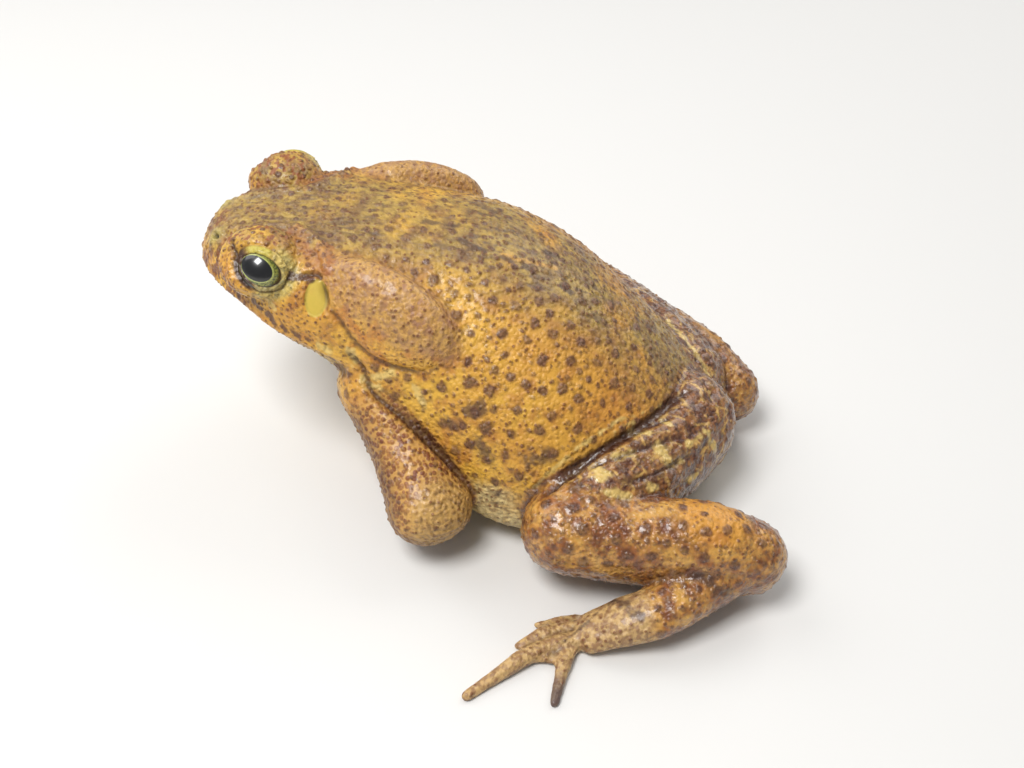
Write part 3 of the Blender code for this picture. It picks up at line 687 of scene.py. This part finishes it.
refresh_normals()
for side in SIDES:
    slit = np.array(aimed(NOSTRIL_ALONG, side))
    off = points - np.array(on_head(NOSTRIL, side))
    reach = np.linalg.norm(off, axis=1)
    lengthwise = off @ slit
    sideways = np.sqrt(np.maximum(reach**2 - lengthwise**2, 0))
    hole = bell(np.hypot(lengthwise / 1.15, sideways / 0.6), 1)
    raise_skin(0.8 * bell(reach, 2.3) - 2.2 * hole)
    mark("nostril", hole)
    mark("nostril_rim", bell(reach, 2.5))

    lips = smooth_path(MOUTH, side)
    lip_reach, _ = distance_to_path(lips)
    above, _ = distance_to_path([p + Vector((0, 0, 1.7)) for p in lips])
    below, _ = distance_to_path([p - Vector((0, 0, 2.8)) for p in lips])
    raise_skin(0.5 * bell(above, 1.3) - 1.3 * bell(below, 2.3) - 1.1 * bell(lip_reach, 0.45))
    mark("mouth", bell(lip_reach, 0.5))

    faces = aimed(EARDRUM_FACES, side)
    upright_axis = Vector((0, 0, 1)) - faces * faces.z
    upright_axis.normalize()
    level_axis = np.array(upright_axis.cross(faces))
    upright_axis, faces = np.array(upright_axis), np.array(faces)
    off = points - np.array(on_head(EARDRUM, side))
    oval = np.hypot(off @ level_axis / EARDRUM_WIDE, off @ upright_axis / EARDRUM_HIGH)
    height = off @ faces
    flat = np.stack([off @ level_axis, off @ upright_axis, np.ones(len(off))], 1)
    close = np.abs(height) < EARDRUM_DEPTH
    rim = (oval > 1.1) & (oval < 1.4) & close
    level_of_rim = flat @ np.linalg.lstsq(flat[rim], height[rim], rcond=None)[0]
    inside = falling(oval, 0.8, 1.3) * close
    points = points + faces * ((level_of_rim - 0.2 + 0.2 * (1 - oval**2) - height) * inside)[:, None]
    mark("eardrum", falling(oval, 0.82, 1.08) * close)

    reach, along = distance_to_path(smooth_path(EAR_GROOVE, side))
    groove = bell(reach, 0.7) * fades_at_ends(along, 0.1, 0.9)
    raise_skin(-0.8 * groove)
    # The groove behind the eardrum is painted darker as shade.
    mark("shaded_crease", groove)

# Folds
# Loose skin creases where arm and thigh meet the body, wrinkles over the elbow, and hangs in fine
# folds on the flank. The creases are painted darker as shade. Each limb is also marked here for its
# own colours, and the downward faces for painted shade.

ARM_CREASE = (
    (29, -29, 45), (31.6, -24.6, 41.7), (34.5, -21.4, 36.4), (36.9, -16.4, 34), (38.9, -10.6, 30.5),
    (40.9, -5.3, 26.1), (43.6, 1.2, 19.8), (45.2, 5.2, 13.2),
)
FLANK_CREASE = (
    (53.1, 20.4, 22.6), (47.8, 25.7, 25.6), (42.4, 32.2, 29), (37.6, 38.9, 31.2), (30.9, 45.9, 32.3),
    (24.1, 51.2, 32.6), (18, 57, 32.5),
)
GLAND_EDGE = (
    (23.3, -34.7, 59.2), (25.6, -33.2, 57.3), (27.6, -31.5, 55), (29.2, -28.2, 51.3), (30.2, -26.5, 48.6),
    (30.9, -24.5, 46.7), (32, -21.1, 44.7), (33, -16.7, 43.3), (33.8, -11.8, 43.1), (34.3, -6.6, 43.3),
)
EARDRUM_EDGE = (
    (22.6, -35.5, 59.9), (24.8, -34, 57.2), (27, -33.5, 55.1), (28.2, -33.3, 51.6), (29.5, -33.2, 48.4),
)
THIGH_FOLDS = (
    ((42, 28, 27), (38, 37, 30.5), (33, 45, 32), (27, 53, 31)),
    ((46, 30, 28), (42, 39, 30), (37, 47, 30), (31, 55, 29)),
    ((49, 36, 27), (46, 44, 27), (41, 51, 27), (34, 58, 26)),
)
ELBOW_TIP, WRINKLE_STEP = (56.2, 0.8, 17.5), 1.7
HASH_STEPS, HASH_SPREAD = np.array([73856093, 19349663, 83492791]), 1274126177


def rough(spots, size, seed=0):
    """Soft random values from 0 to 1 over space, in lumps of about the given size."""
    spots = spots / size + 1000.5 + seed * 17.3
    cell = np.floor(spots).astype(np.int64)
    part = spots - cell
    part = part * part * (3 - 2 * part)
    total = np.zeros(len(spots))
    for corner in range(8):
        step = np.array([corner & 1, corner >> 1 & 1, corner >> 2])
        key = (cell + step) @ HASH_STEPS
        key = (key ^ (key >> 13)) * HASH_SPREAD & 0xFFFFFFFF
        weight = np.prod(np.where(step == 1, part, 1 - part), axis=1)
        total += ((key ^ (key >> 16)) & 0xFFFF) / 65535 * weight
    return total


def limb_share(path, radii, spread=1.6):
    """How far each point belongs to the limb along that path, from 0 to 1."""
    reach, along = distance_to_path(path, within=20)
    surface = np.interp(along, np.linspace(0, 1, len(radii)), radii)
    return falling(reach - surface, 0.3, spread)


refresh_normals()
for side in SIDES:
    shoulder, elbow, wrist = (across(joint, side) for joint in (SHOULDER, ELBOW, WRIST))
    mark("arm", limb_share([shoulder, elbow], (7.5, 8.6, 10.6)) * rising(points[:, 0] * side, 27, 33))
    mark("arm", limb_share([elbow, wrist], (10.6, 8.5, 5.0)))
    hip, knee, heel, middle, instep = legs[side]
    mark("thigh", limb_share([hip, knee], (14.2, 14.2, 11.5)))
    mark("shank", limb_share([knee, heel], (10.8, 11.4, 10)))
    mark("shank", limb_share([heel, middle, instep], (9.4, 7, 6.2)))
    mark("paw", limb_share([instep, instep + Vector((0, 0, -2))], (7, 7), spread=4))
    for path in digit_paths["foot", side] + digit_paths["hand", side]:
        lifted = [spot + Vector((0, 0, 2.2)) for spot in path[::4]]
        mark("paw", limb_share(lifted, (6.5, 5, 4.5), spread=3))
    mark("gland", falling(gland_reach(side), 0.94, 1.22))

paint["shank"] *= 1 - paint["paw"]
paint["thigh"] *= 1 - paint["shank"]
limb = np.maximum.reduce([paint["arm"], paint["thigh"], paint["shank"], paint["paw"]])
head_share = rising(-points[:, 1], 30, 36)
slack = 8 * (rough(points, 7, 3) - 0.5)
belly = rising(22 - points[:, 2] - slack, 0, 9) * (1 - head_share)
throat = rising(41 - points[:, 2], 0, 5) * rising(-points[:, 1], 26, 34)
mark("belly", np.maximum(belly, throat) * (1 - limb))
spine = np.interp(points[:, 1], [row[0] for row in TRUNK_SECTIONS], [row[1] for row in TRUNK_SECTIONS])
off_spine = np.abs(points[:, 0] - spine) + 6 * (rough(points, 9, 10) - 0.5)
mark("back", rising(normals[:, 2], 0.2, 0.8) * falling(off_spine, 10, 27) * (1 - limb))
rear = rising(points[:, 1] + 0.5 * points[:, 2] + slack, 22, 62)
mark("rear", rear * (1 - paint["belly"]) * (1 - limb))
# Painted shade: faces turned downwards, and the arm's forward faces, are marked to be darkened.
mark("under", rising(-normals[:, 2], -0.35, 0.5))
mark("under", 0.9 * rising(-normals[:, 1], 0.3, 0.8) * paint["arm"])

# Each groove is sunk, and the last column sets how dark the painted shade in it is.
for path, to_body, sides, width, depth, dark in (
    (ARM_CREASE, across, SIDES, 1.1, 1.1, 0.6), (FLANK_CREASE, across, (LEFT,), 1.2, 1.0, 0.8),
    (GLAND_EDGE, across, SIDES, 0.9, 0.45, 0.3), (EARDRUM_EDGE, on_head, SIDES, 0.5, 0.3, 0.6),
):
    for side in sides:
        reach, along = distance_to_path(smooth_path(path, side, to_body))
        groove = bell(reach, width) * fades_at_ends(along, 0.12, 0.85)
        raise_skin(-depth * groove)
        mark("shaded_crease", dark * groove)

stretched = points * (0.5, 1.0, 1.0)
folds = rough(stretched, 5, 1) - 0.5 + 0.6 * (rough(stretched, 2.4, 2) - 0.5)
loose = (1 - head_share) * (0.35 + 0.65 * paint["belly"] + 0.5 * limb) * (1 - 0.6 * paint["paw"])
raise_skin(0.45 * folds * loose)
crinkled = rough(points * (0.5, 0.5, 1), 1.3, 11) - 0.5
raise_skin(0.3 * crinkled * paint["belly"])
for side in SIDES:
    reach = np.linalg.norm(points - np.array(across(Vector(ELBOW_TIP), side)), axis=1)
    reach = reach + 2.2 * (rough(points, 3, 4) - 0.5)
    arcs = np.sin(reach * 2 * math.pi / WRINKLE_STEP)
    arcs = arcs * rising(reach, 1.5, 3) * falling(reach, 8, 11)
    raise_skin(0.1 * arcs * paint["arm"])
    mark("elbow", falling(reach, 7, 13) * paint["arm"])
    hip, knee = legs[side][:2]
    axis = np.array((knee - hip).normalized())
    ridged = points - np.outer((points - np.array(hip)) @ axis, axis) * 0.78
    raise_skin(0.8 * (rough(ridged, 2.6, 5) - 0.5) * paint["thigh"])
for path in THIGH_FOLDS:
    reach, along = distance_to_path(smooth_path(path, LEFT, across))
    fold = bell(reach + 0.8 * (rough(points, 4, 12) - 0.5), 0.8) * fades_at_ends(along, 0.15, 0.85)
    raise_skin(-0.7 * fold * paint["thigh"])
    # The thigh folds are painted darker as shade.
    mark("shaded_crease", 0.6 * fold * paint["thigh"])

# Warts
# Rough glands stand all over the skin: broad, flat discs on the flank, and dense small cones on
# the back and legs, each of its own uneven outline. Smaller grains are left to the finish.

BROAD_WARTS = (
    (36, 2.6, 43.4, 1.5), (34.9, 12, 45.3, 1.3), (35.6, 15.5, 44.2, 1.3), (36.1, 19.6, 42.9, 1.2),
    (34.6, 24.1, 43.1, 1.2), (30.9, 18.9, 48.1, 1.4), (28, 9, 52.4, 1.4), (28.1, 14.7, 51.3, 1.3),
    (25.4, 20.4, 51.4, 1.4), (24.3, 27.5, 48.9, 1.3), (21.9, 11.5, 56, 1.4), (18.4, 3.6, 59.3, 1.2),
    (11.2, 14.6, 59.1, 1.2), (11.9, 22.4, 55.7, 1.2), (10.8, 41, 44.1, 1.2), (7.9, 56.5, 30.7, 1.2),
    (27.2, 40.6, 38.8, 1.2), (26.1, 45, 36.1, 1.2), (23.4, 49.6, 33.4, 1.2), (22.4, 45.7, 37.5, 1.2),
    (19.3, 55.4, 32.8, 1.4), (33.4, 33.8, 38.9, 1.2), (28.7, 46.4, 33.2, 1.2), (27.1, 50.6, 32.3, 1.2),
    (24, 58.3, 31.2, 1.5), (35.9, -4, 41.2, 1.3), (39.4, -3.3, 32.6, 1.4), (39.5, 4.3, 37.5, 1.3),
    (41.2, 7.2, 34.5, 1.9), (39.4, 14.1, 39.2, 1.2), (46.1, 15.9, 24.3, 1.2), (44.2, 12.3, 29, 1.2),
    (45.8, 10.4, 21.3, 1.3), (39.2, 22.2, 38.5, 1.2), (41.4, 19.9, 35.7, 1.4), (42.3, 40.6, 29.9, 1.3),
    (44.3, 31.2, 28.2, 1.3), (37.1, 49, 30.1, 1.2),
)
WARTLESS = ("gland", "eardrum", "lid", "lower_lid", "eye_crease_shade", "paw", "mouth")
GRID_CELL = 4
rng = random.Random(11)
refresh_normals()
nearest = KDTree(len(points))
for i, spot in enumerate(points):
    nearest.insert(spot, i)
nearest.balance()
warts = [(Vector(spot), radius) for *spot, radius in BROAD_WARTS]


def disc_radius(i):
    """A random size for a broad wart at that point, or none where the skin bears none."""
    if paint["arm"][i] > 0.3 or head_share[i] > 0.2 or (paint["belly"][i] > 0.5 and rng.random() < 0.9):
        return 0
    if paint["back"][i] > 0.5:
        return rng.uniform(0.7, 1.2)
    return rng.uniform(0.9, 1.5)


def cone_radius(i):
    """A random size for a small wart at that point, or none."""
    if paint["back"][i] > rng.random():
        return rng.uniform(0.45, 0.85)
    if head_share[i] > 0.5:
        return rng.uniform(0.25, 0.42) * (rng.random() < 0.6)
    return rng.uniform(0.35, 0.65) * (rng.random() < (0.15 if paint["belly"][i] > 0.4 else 0.6))


grid = {}


def cell_of(spot):
    return tuple(int(math.floor(c / GRID_CELL)) for c in spot)


def is_free(spot, radius, gap):
    """Whether no wart stands too near that spot."""
    x, y, z = cell_of(spot)
    around = [(x + dx, y + dy, z + dz) for dx in (-1, 0, 1) for dy in (-1, 0, 1) for dz in (-1, 0, 1)]
    return all(
        (other - spot).length > radius + wide + gap for cell in around for other, wide in grid.get(cell, ())
    )


for spot, radius in warts:
    grid.setdefault(cell_of(spot), []).append((spot, radius))
for radius_at, tries, gap in ((disc_radius, 14000, 1.9), (cone_radius, 42000, 0.5)):
    for _ in range(tries):
        i = rng.randrange(len(points))
        radius = radius_at(i) if max(paint[name][i] for name in WARTLESS) < 0.3 else 0
        spot = Vector(points[i])
        if radius and is_free(spot, radius, gap):
            grid.setdefault(cell_of(spot), []).append((spot, radius))
            warts.append((spot, radius))

rise = np.zeros(len(points))
uneven = 0.7 * (rough(points, 0.9, 13) - 0.5) + 0.4 * (rough(points, 2.1, 14) - 0.5)
for name in ("wart", "wart_rim", "halo"):
    paint[name] = np.zeros(len(points))
for spot, radius in warts:
    height = (rng.uniform(0.12, 0.26) if radius > 0.8 else rng.uniform(0.35, 0.6)) * radius
    strength = rng.uniform(0.75, 1.0) if radius > 0.8 else rng.uniform(0.3, 0.9)
    for _, i, reach in nearest.find_range(spot, radius * 2.4):
        share = reach / radius + uneven[i]
        if share < 1:
            dome = (1 - max(share, 0) ** 3) * 0.75 + 0.4 * math.exp(-((share / 0.4) ** 2))
            rise[i] = max(rise[i], height * dome)
            paint["wart"][i] = max(paint["wart"][i], strength * min(1, (1 - share) * 4))
        ring = math.exp(-(((share - 0.8) / 0.25) ** 2))
        paint["wart_rim"][i] = max(paint["wart_rim"][i], ring * strength)
        paint["halo"][i] = max(paint["halo"][i], math.exp(-(((share - 1.35) / 0.35) ** 2)))
raise_skin(rise)
fine = rough(points, 0.9, 6) + rough(points, 1.7, 7) - 1
bare = (1 - paint["eardrum"]) * (1 - paint["lid"]) * (1 - paint["lower_lid"])
raise_skin(0.2 * fine * (bare * (1 - 0.6 * paint["paw"])))

# Skin finish
# Ochre yellow with dark warts, browner on the back and limbs, cream below. A film of slime gives
# the legs and the lower lids a damp shine. Shade is painted darker into creases, hollows, the eye
# creases and the arm's lower faces, and a painted highlight pales the raised points.

ON_HEAD_MARKS = {
    "cream": (
        (1.9, (22.2, -44.2, 62.6), (21.9, -42.7, 60.4), (23.6, -44.2, 58.2), (24.9, -46, 56.6)),
        (1, (29, -36, 44.4), (30, -33.1, 43.3)), (0.8, (24.5, -47.5, 52), (25, -46.5, 51)),
    ),
    "bars": (
        (0.9, (21.4, -52.1, 50.3), (22.6, -50.5, 49.2)), (1, (24, -48.4, 48.6), (25.2, -46.5, 46.5)),
        (0.9, (25.7, -45.1, 47.9), (26.3, -44.2, 46)), (1, (27, -42.2, 46.2), (27.6, -40.7, 45)),
        (0.8, (17.5, -57, 50.5), (18.3, -56.4, 48.6)), (0.7, (14, -61, 50.8), (14.6, -60.6, 49)),
        (0.8, (28.4, -38.4, 45), (28.9, -37.6, 44)), (0.9, (22.5, -42.6, 59), (23.4, -37, 59.6)),
    ),
    "red": (
        (2.4, (10.2, -43.8, 63.1), (13.1, -41.7, 63), (19.5, -38.6, 61.4), (22.4, -34.6, 61)),
        (2.6, (16, -36.3, 62.6), (21, -34.6, 61.2)), (2.4, (26, -41.5, 54.8), (25.3, -39.4, 57)),
        (1.1, (9, -62, 58.6), (12, -59.5, 59.5)),
    ),
}
BODY_MARKS = {
    "cream": (
        (1.5, (32.6, -23.2, 37.5), (34, -19.5, 36.8)), (1.3, (35.5, -10.2, 38.8), (37.1, -8, 35.7)),
        (1.1, (33.1, -20.3, 39.1), (33.4, -16.1, 41.9)), (1.2, (30.8, -26.5, 44.5), (30.4, -25.3, 41.8)),
        (0.6, (47, 19.5, 22), (45.8, 22.9, 26.4), (41.5, 29.5, 31.8), (34.6, 38, 34.8), (26, 48.3, 32.6)),
        (1.2, (42.1, 37.7, 30.2), (40.9, 41.7, 30.2)), (1.6, (44.9, 33.5, 28.8), (48.1, 35.5, 28.1)),
        (1.1, (50.7, 36.2, 26.9), (49.9, 41.5, 25.7)), (1, (46.3, 46.6, 25.7), (45.2, 48.6, 24.8)),
        (1.5, (37.3, 48.6, 29.9), (39.7, 51.3, 27.6)), (1.1, (33.9, 55.6, 28.1), (30.6, 58.3, 28.3)),
        (0.9, (30.1, 48.9, 31.6), (30.8, 50.8, 31.6)), (0.9, (34.3, 41.5, 31.3), (34.7, 45.8, 31.3)),
        (1, (28.9, 59.9, 28.2), (29.3, 63.5, 22.4)), (0.9, (38.5, 56.6, 20.9), (36.3, 58.7, 20.5)),
        (1, (40.3, 51.3, 27.2), (37.4, 54.1, 26.4)), (0.9, (36, 36.5, 32.6), (33, 41, 33)),
        (1, (-10.1, 50.9, 29.9), (-3, 55.9, 29.5), (4.4, 61.2, 26.2), (9, 64.5, 21)),
    ),
    "yellow": (
        (2.2, (56.5, 44.6, 25), (52.6, 50, 25.9)), (1.4, (69.2, 49.1, 12.6), (72, 50, 11)),
        (3, (61.7, 31.4, 21.9), (63.5, 30.6, 18.6), (63.8, 36.6, 16.5)),
        (2, (61.5, 49.7, 21.1), (62.4, 56.7, 19.9)), (1.8, (61, 62.2, 21.8), (60.6, 69.4, 19.7)),
        (1.3, (65.9, 54.1, 14.3), (69.1, 55.5, 13.6), (71.9, 57.6, 9.8)),
        (1.3, (75.9, 38.8, 6.3), (76.6, 44.2, 6.6), (74.8, 51.3, 9.3)), (2.4, (58.5, 24, 19), (55, 22, 22)),
        (0.6, (10.1, 6.7, 61.8), (10, 11, 60.5), (8.7, 15.8, 58.9), (8, 19.5, 57.7)),
    ),
    "dark": (
        (1.9, (45, 17.6, 29), (44.4, 22.3, 30)), (1.3, (47, 15, 26.6), (47.2, 16.4, 26.4)),
        (2.1, (40, -1.5, 33), (39.8, 0.5, 33)), (1.8, (43.4, 6, 30.4), (45, 9, 27)),
        (1.5, (49, 9, 18), (48.6, 11, 19)), (1.9, (39.3, 3.5, 37.4), (39, 6, 38.5)),
        (1.7, (38, -9, 36), (38, -7.4, 38)), (1.1, (43.5, 1.5, 27.4), (44.5, 3, 24.5)),
        (1.6, (63.5, 59.4, 16.1), (65.1, 66.2, 13.1)), (1.3, (67.2, 40.8, 8.1), (72.8, 46.6, 11)),
        (0.6, (70, 37, 6.9), (71.7, 35.6, 6), (74.1, 32.5, 4.1), (77.5, 29.2, 4.1)),
        (0.9, (3.3, -12.5, 64.4), (3.7, -4.9, 64.1)), (0.9, (8.4, -3.4, 63.6), (10.1, 2.3, 62.5)),
        (0.9, (10.9, 7.3, 61.4), (11.2, 9.3, 60.8)), (1, (11.2, 11.9, 60), (11.8, 14, 59.3)),
        (0.9, (12, 21.8, 56.2), (12.9, 23.9, 54.7)), (0.9, (4.1, 16.2, 59.3), (3.1, 19.7, 57.7)),
    ),
}
FIFTH_TOE = ((81.7, 30.4, 3.7), (85.4, 29.3, 3.1), (89.1, 28.9, 2.8), (91.3, 28.4, 2.5))

wander = 0.7 * (rough(points, 2.2, 8) - 0.5) + 0.7 * (rough(points, 0.9, 9) - 0.5)
for marks, to_body, sides in ((ON_HEAD_MARKS, on_head, SIDES), (BODY_MARKS, across, (LEFT,))):
    for name, lines in marks.items():
        for width, *places in lines:
            for side in sides:
                reach, _ = distance_to_path([to_body(place, side) for place in places])
                mark(name, falling(reach / width + 1.7 * wander, 0.45, 1.3))
reach, along = distance_to_path(FIFTH_TOE)
mark("toe_end", falling(reach, 2.6, 3.4) * rising(along, 0, 0.7))
snout = rising(-points[:, 1], 50, 55) * falling(points[:, 2], 58.5, 60.5)
mark("snout", snout * (1 - paint["belly"]))
mark("gland_top", paint["gland"] * rising(points[:, 2] + 0.35 * points[:, 1] + 5 * wander, 42, 48))

refresh_normals()
# Painted shade and painted highlight: points below their softened neighbours are darkened as hollows, and
# points above them are paled as lit peaks.
softer = points
for _ in range(6):
    softer = averaged(softer)
paint["painted_hollow_shade"] = np.clip(np.sum((softer - points) * normals, axis=1) * 6, 0, 1)
paint["painted_peak_highlight"] = np.clip(np.sum((points - softer) * normals, axis=1) * 6, 0, 1) * (1 - paint["paw"])
for name, share in paint.items():
    skin.data.attributes.new(name, "FLOAT", "POINT").data.foreach_set("value", share.astype(np.float32))


def linear(code):
    """A colour given as six hex digits, as the renderer counts light."""
    parts = [int(code[i : i + 2], 16) / 255 for i in (0, 2, 4)]
    return (*(v / 12.92 if v < 0.04 else ((v + 0.055) / 1.055) ** 2.4 for v in parts), 1)


def fill(node, inputs):
    """Sets the node's inputs to plain values, or links them to other nodes."""
    for key, value in inputs.items():
        if isinstance(value, bpy.types.NodeSocket):
            tree.links.new(value, node.inputs[key])
        else:
            node.inputs[key].default_value = linear(value) if isinstance(value, str) else value


def add_node(kind, inputs=None, output=0, **settings):
    """Adds a node to the finish in hand, and returns one of its outputs."""
    made = tree.nodes.new("ShaderNode" + kind)
    for key, value in settings.items():
        setattr(made, key, value)
    fill(made, inputs or {})
    return made.outputs[output]


def blend(share, first, second):
    """The first colour, changed to the second by a share."""
    return add_node("Mix", {0: share, 6: first, 7: second}, 2, data_type="RGBA")


def times(first, second):
    return add_node("Math", {0: first, 1: second}, operation="MULTIPLY")


def plus(first, second):
    return add_node("Math", {0: first, 1: second}, operation="ADD")


def ramp(value, low, high):
    """0 at the low value, 1 at the high one."""
    return add_node("MapRange", {0: value, 1: low, 2: high}, interpolation_type="SMOOTHSTEP")


def lumps(place, size):
    """Soft noise in lumps of about that many millimetres."""
    return add_node("TexNoise", {"Vector": place, "Scale": 1 / size, "Detail": 3.0})


def skin_place(stretch=(1, 1, 1)):
    """The place on the object in millimetres, shrunk along the axes that the pattern is long in."""
    place = add_node("TexCoord", output=3)
    return add_node("VectorMath", {0: place, 1: [s / MM for s in stretch]}, operation="MULTIPLY")


skin_finish, tree, surface = new_finish("toad_skin")
place = skin_place()
mask = {name: add_node("Attribute", output=2, attribute_name=name) for name in paint}
wide, middle, small, tiny = (lumps(place, size) for size in (14, 4.5, 1.5, 0.6))
streaks = lumps(skin_place((1, 1, 0.3)), 1.3)
lengthwise = lumps(skin_place((1, 0.25, 1)), 1.8)
coarse = add_node("TexVoronoi", {"Vector": place, "Scale": 1 / 1.15})
grains = add_node("TexVoronoi", {"Vector": place, "Scale": 1 / 1.75, "Randomness": 0.9})
cells = add_node("TexVoronoi", {"Vector": place, "Scale": 1 / 4.5}, feature="DISTANCE_TO_EDGE")
lace = times(ramp(plus(cells, times(small, 0.5)), 0.36, 0.26), ramp(middle, 0.42, 0.58))

dull = blend(ramp(middle, 0.35, 0.65), "ab8c44", "86683c")
dull = blend(times(ramp(lengthwise, 0.5, 0.66), 0.65), dull, "5f4a3c")
arm_brown_and_shade = blend(ramp(middle, 0.35, 0.6), "7a4022", "a06a34")
arm_brown_and_shade = blend(times(ramp(coarse, 0.42, 0.62), 0.85), arm_brown_and_shade, "c8964a")
# Painted shade, and partly the arm's darker underside, darkens its downward and forward faces.
arm_brown_and_shade = blend(times(mask["under"], 0.6), arm_brown_and_shade, "3c2214")
thigh_brown = blend(ramp(small, 0.38, 0.62), "4e2a1e", "8c5a30")
thigh_brown = blend(times(lace, 0.8), thigh_brown, "cfa458")
shank_brown = blend(ramp(middle, 0.38, 0.6), "744020", "b07e3c")
shank_brown = blend(times(ramp(small, 0.5, 0.62), 0.7), shank_brown, "5c3622")
shank_brown = blend(times(lace, 0.5), shank_brown, "c8984a")
gland_grey = blend(ramp(small, 0.4, 0.6), "8a6656", "b88c50")
gland_ochre = blend(ramp(middle, 0.4, 0.62), "dca640", "c07c2c")
gland_ochre = blend(times(mask["gland_top"], 0.9), gland_ochre, gland_grey)
gland_ochre = blend(times(ramp(small, 0.58, 0.66), 0.55), gland_ochre, "6e4434")

colour = blend(ramp(wide, 0.38, 0.62), "dba83a", "cf9634")
for name, strength, over in (
    ("rear", 0.6, "bf7a2c"),
    (None, times(ramp(middle, 0.48, 0.68), 0.55), "a8662c"),
    ("back", ramp(wide, 0.2, 0.5), dull),
    ("belly", 0.9, blend(ramp(small, 0.4, 0.62), "d6c288", "a08a5c")),
    ("arm", 1, arm_brown_and_shade),
    ("elbow", 0.65, "c09a58"),
    ("thigh", 1, thigh_brown),
    ("shank", 1, shank_brown),
    ("yellow", 0.8, "cf9c48"),
    ("paw", 1, blend(ramp(small, 0.38, 0.62), "c4a068", "95704a")),
    ("toe_end", 0.85, "4a3a3c"),
    ("gland", 0.9, gland_ochre),
    ("snout", ramp(streaks, 0.42, 0.6), "7c4822"),
    ("red", 0.55, "9a5624"),
    ("halo", times(mask["shank"], 0.4), "b8702c"),
    # painted highlight on raised points
    ("painted_peak_highlight", 0.3, "dcb060"),
    (None, times(ramp(grains, 0.27, 0.16), 0.7), "6a3416"),
    ("dark", 0.75, "4a352c"),
    ("wart", 0.9, blend(ramp(tiny, 0.42, 0.62), "46261a", "704834")),
    ("wart_rim", 0.5, "54240e"),
    ("cream", 0.85, blend(small, "c8a050", "e8cf80")),
    (None, ramp(plus(mask["eardrum"], times(small, 0.5)), 0.45, 1.0), blend(small, "c0a83e", "d0b048")),
    ("brow", ramp(small, 0.5, 0.6), "8c5226"),
    ("nostril_rim", 1, "b8a65c"),
    ("lid", 1, blend(small, "a89c34", "c4b04c")),
    ("pale_lid", 0.8, blend(ramp(small, 0.35, 0.55), "8c8658", "d0ba68")),
    ("lower_lid", 1, "9a9a70"),
    ("bars", 0.85, "4a2a26"),
    # painted shade in the eye creases and at the lid edges
    ("eye_crease_shade", 0.95, "301614"),
    # partly painted shadow below the crest, partly its purple-brown colour
    ("crest", ramp(small, 0.45, 0.6), "5c3830"),
    # painted shade in creases and folds
    ("shaded_crease", 0.75, "3c2010"),
    # painted shade in hollows
    ("painted_hollow_shade", 0.7, "3c2010"),
    ("nostril", 1, "0a0605"),
    ("mouth", 1, "20100a"),
):
    colour = blend(times(mask[name], strength) if name else strength, colour, over)

plain = add_node("Math", {0: 1.0, 1: mask["eardrum"]}, operation="SUBTRACT")
bumps = plus(ramp(coarse, 0.75, 0.1), times(ramp(grains, 0.45, 0.1), 1.2))
bumps = plus(bumps, plus(times(tiny, 0.7), times(mask["back"], lengthwise)))
wet = plus(mask["thigh"], plus(mask["shank"], mask["lower_lid"]))
fill(surface, {
    "Base Color": colour,
    "Normal": add_node("Bump", {"Height": times(bumps, plain), "Strength": 0.7, "Distance": 0.0003}),
    "Roughness": add_node("MapRange", {0: wet, 3: 0.5, 4: 0.34}),
    "Coat Weight": add_node("MapRange", {0: wet, 3: 0.25, 4: 0.6}),
    "Coat Roughness": 0.15,
})
points[:, 2] = np.maximum(points[:, 2], 0)
place_points()
skin.data.transform(ONTO_FRAME)
skin.data.materials.append(skin_finish)
skin.data.shade_smooth()
flesh = [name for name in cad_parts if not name.startswith("eye")]
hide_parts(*flesh)
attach(skin, "root")

# Eyes
# Dark, wet eyeballs. The pupil is a wide oval that tilts with the lids, ringed by a gold and green
# iris, and both lie under one clear, glossy cornea.

PUPIL_LONG, PUPIL_SHORT, PUPIL_AHEAD = [math.radians(angle) for angle in (41, 27, 12)]

eye_finish, tree, surface = new_finish("toad_eye")
from_pupil = add_node("Attribute", output=2, attribute_name="from_pupil")
specks = lumps(skin_place(), 0.5)
colour = blend(ramp(specks, 0.4, 0.6), "8c8c34", "4a5218")
colour = blend(times(ramp(from_pupil, 1.16, 1.04), ramp(specks, 0.3, 0.5)), colour, "b8be68")
colour = blend(ramp(from_pupil, 1.3, 1.5), colour, "1c1a0c")
colour = blend(ramp(from_pupil, 1.04, 0.99), colour, "06070c")
fill(surface, {"Base Color": colour, "Roughness": 0.3, "Coat Weight": 1.0, "Coat Roughness": 0.03})

for side, tag in ((LEFT, "left"), (RIGHT, "right")):
    mesh = bpy.data.meshes.new("eyeball_" + tag)
    shape = bmesh.new()
    bmesh.ops.create_uvsphere(shape, u_segments=144, v_segments=72, radius=EYE_RADIUS)
    shape.to_mesh(mesh)
    shape.free()
    rays = vectors_of(mesh.vertices, "co") / EYE_RADIUS
    look, long_axis, short_axis = eye_axes(side)
    middle_of_pupil = look * math.cos(PUPIL_AHEAD) + long_axis * math.sin(PUPIL_AHEAD)
    turn_off = np.arccos(np.clip(rays @ middle_of_pupil, -1, 1))
    bearing = np.arctan2(rays @ short_axis, rays @ long_axis - math.sin(PUPIL_AHEAD))
    from_pupil = turn_off * np.hypot(np.cos(bearing) / PUPIL_LONG, np.sin(bearing) / PUPIL_SHORT)
    values = mesh.attributes.new("from_pupil", "FLOAT", "POINT").data
    values.foreach_set("value", from_pupil.astype(np.float32))
    mesh.transform(ONTO_FRAME @ Matrix.Translation(on_head(EYE_CENTRE, side)))
    eyeball = add_object("eyeball_" + tag, mesh)
    mesh.materials.append(eye_finish)
    mesh.shade_smooth()
    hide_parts("eye_" + tag)
    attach(eyeball, "root")
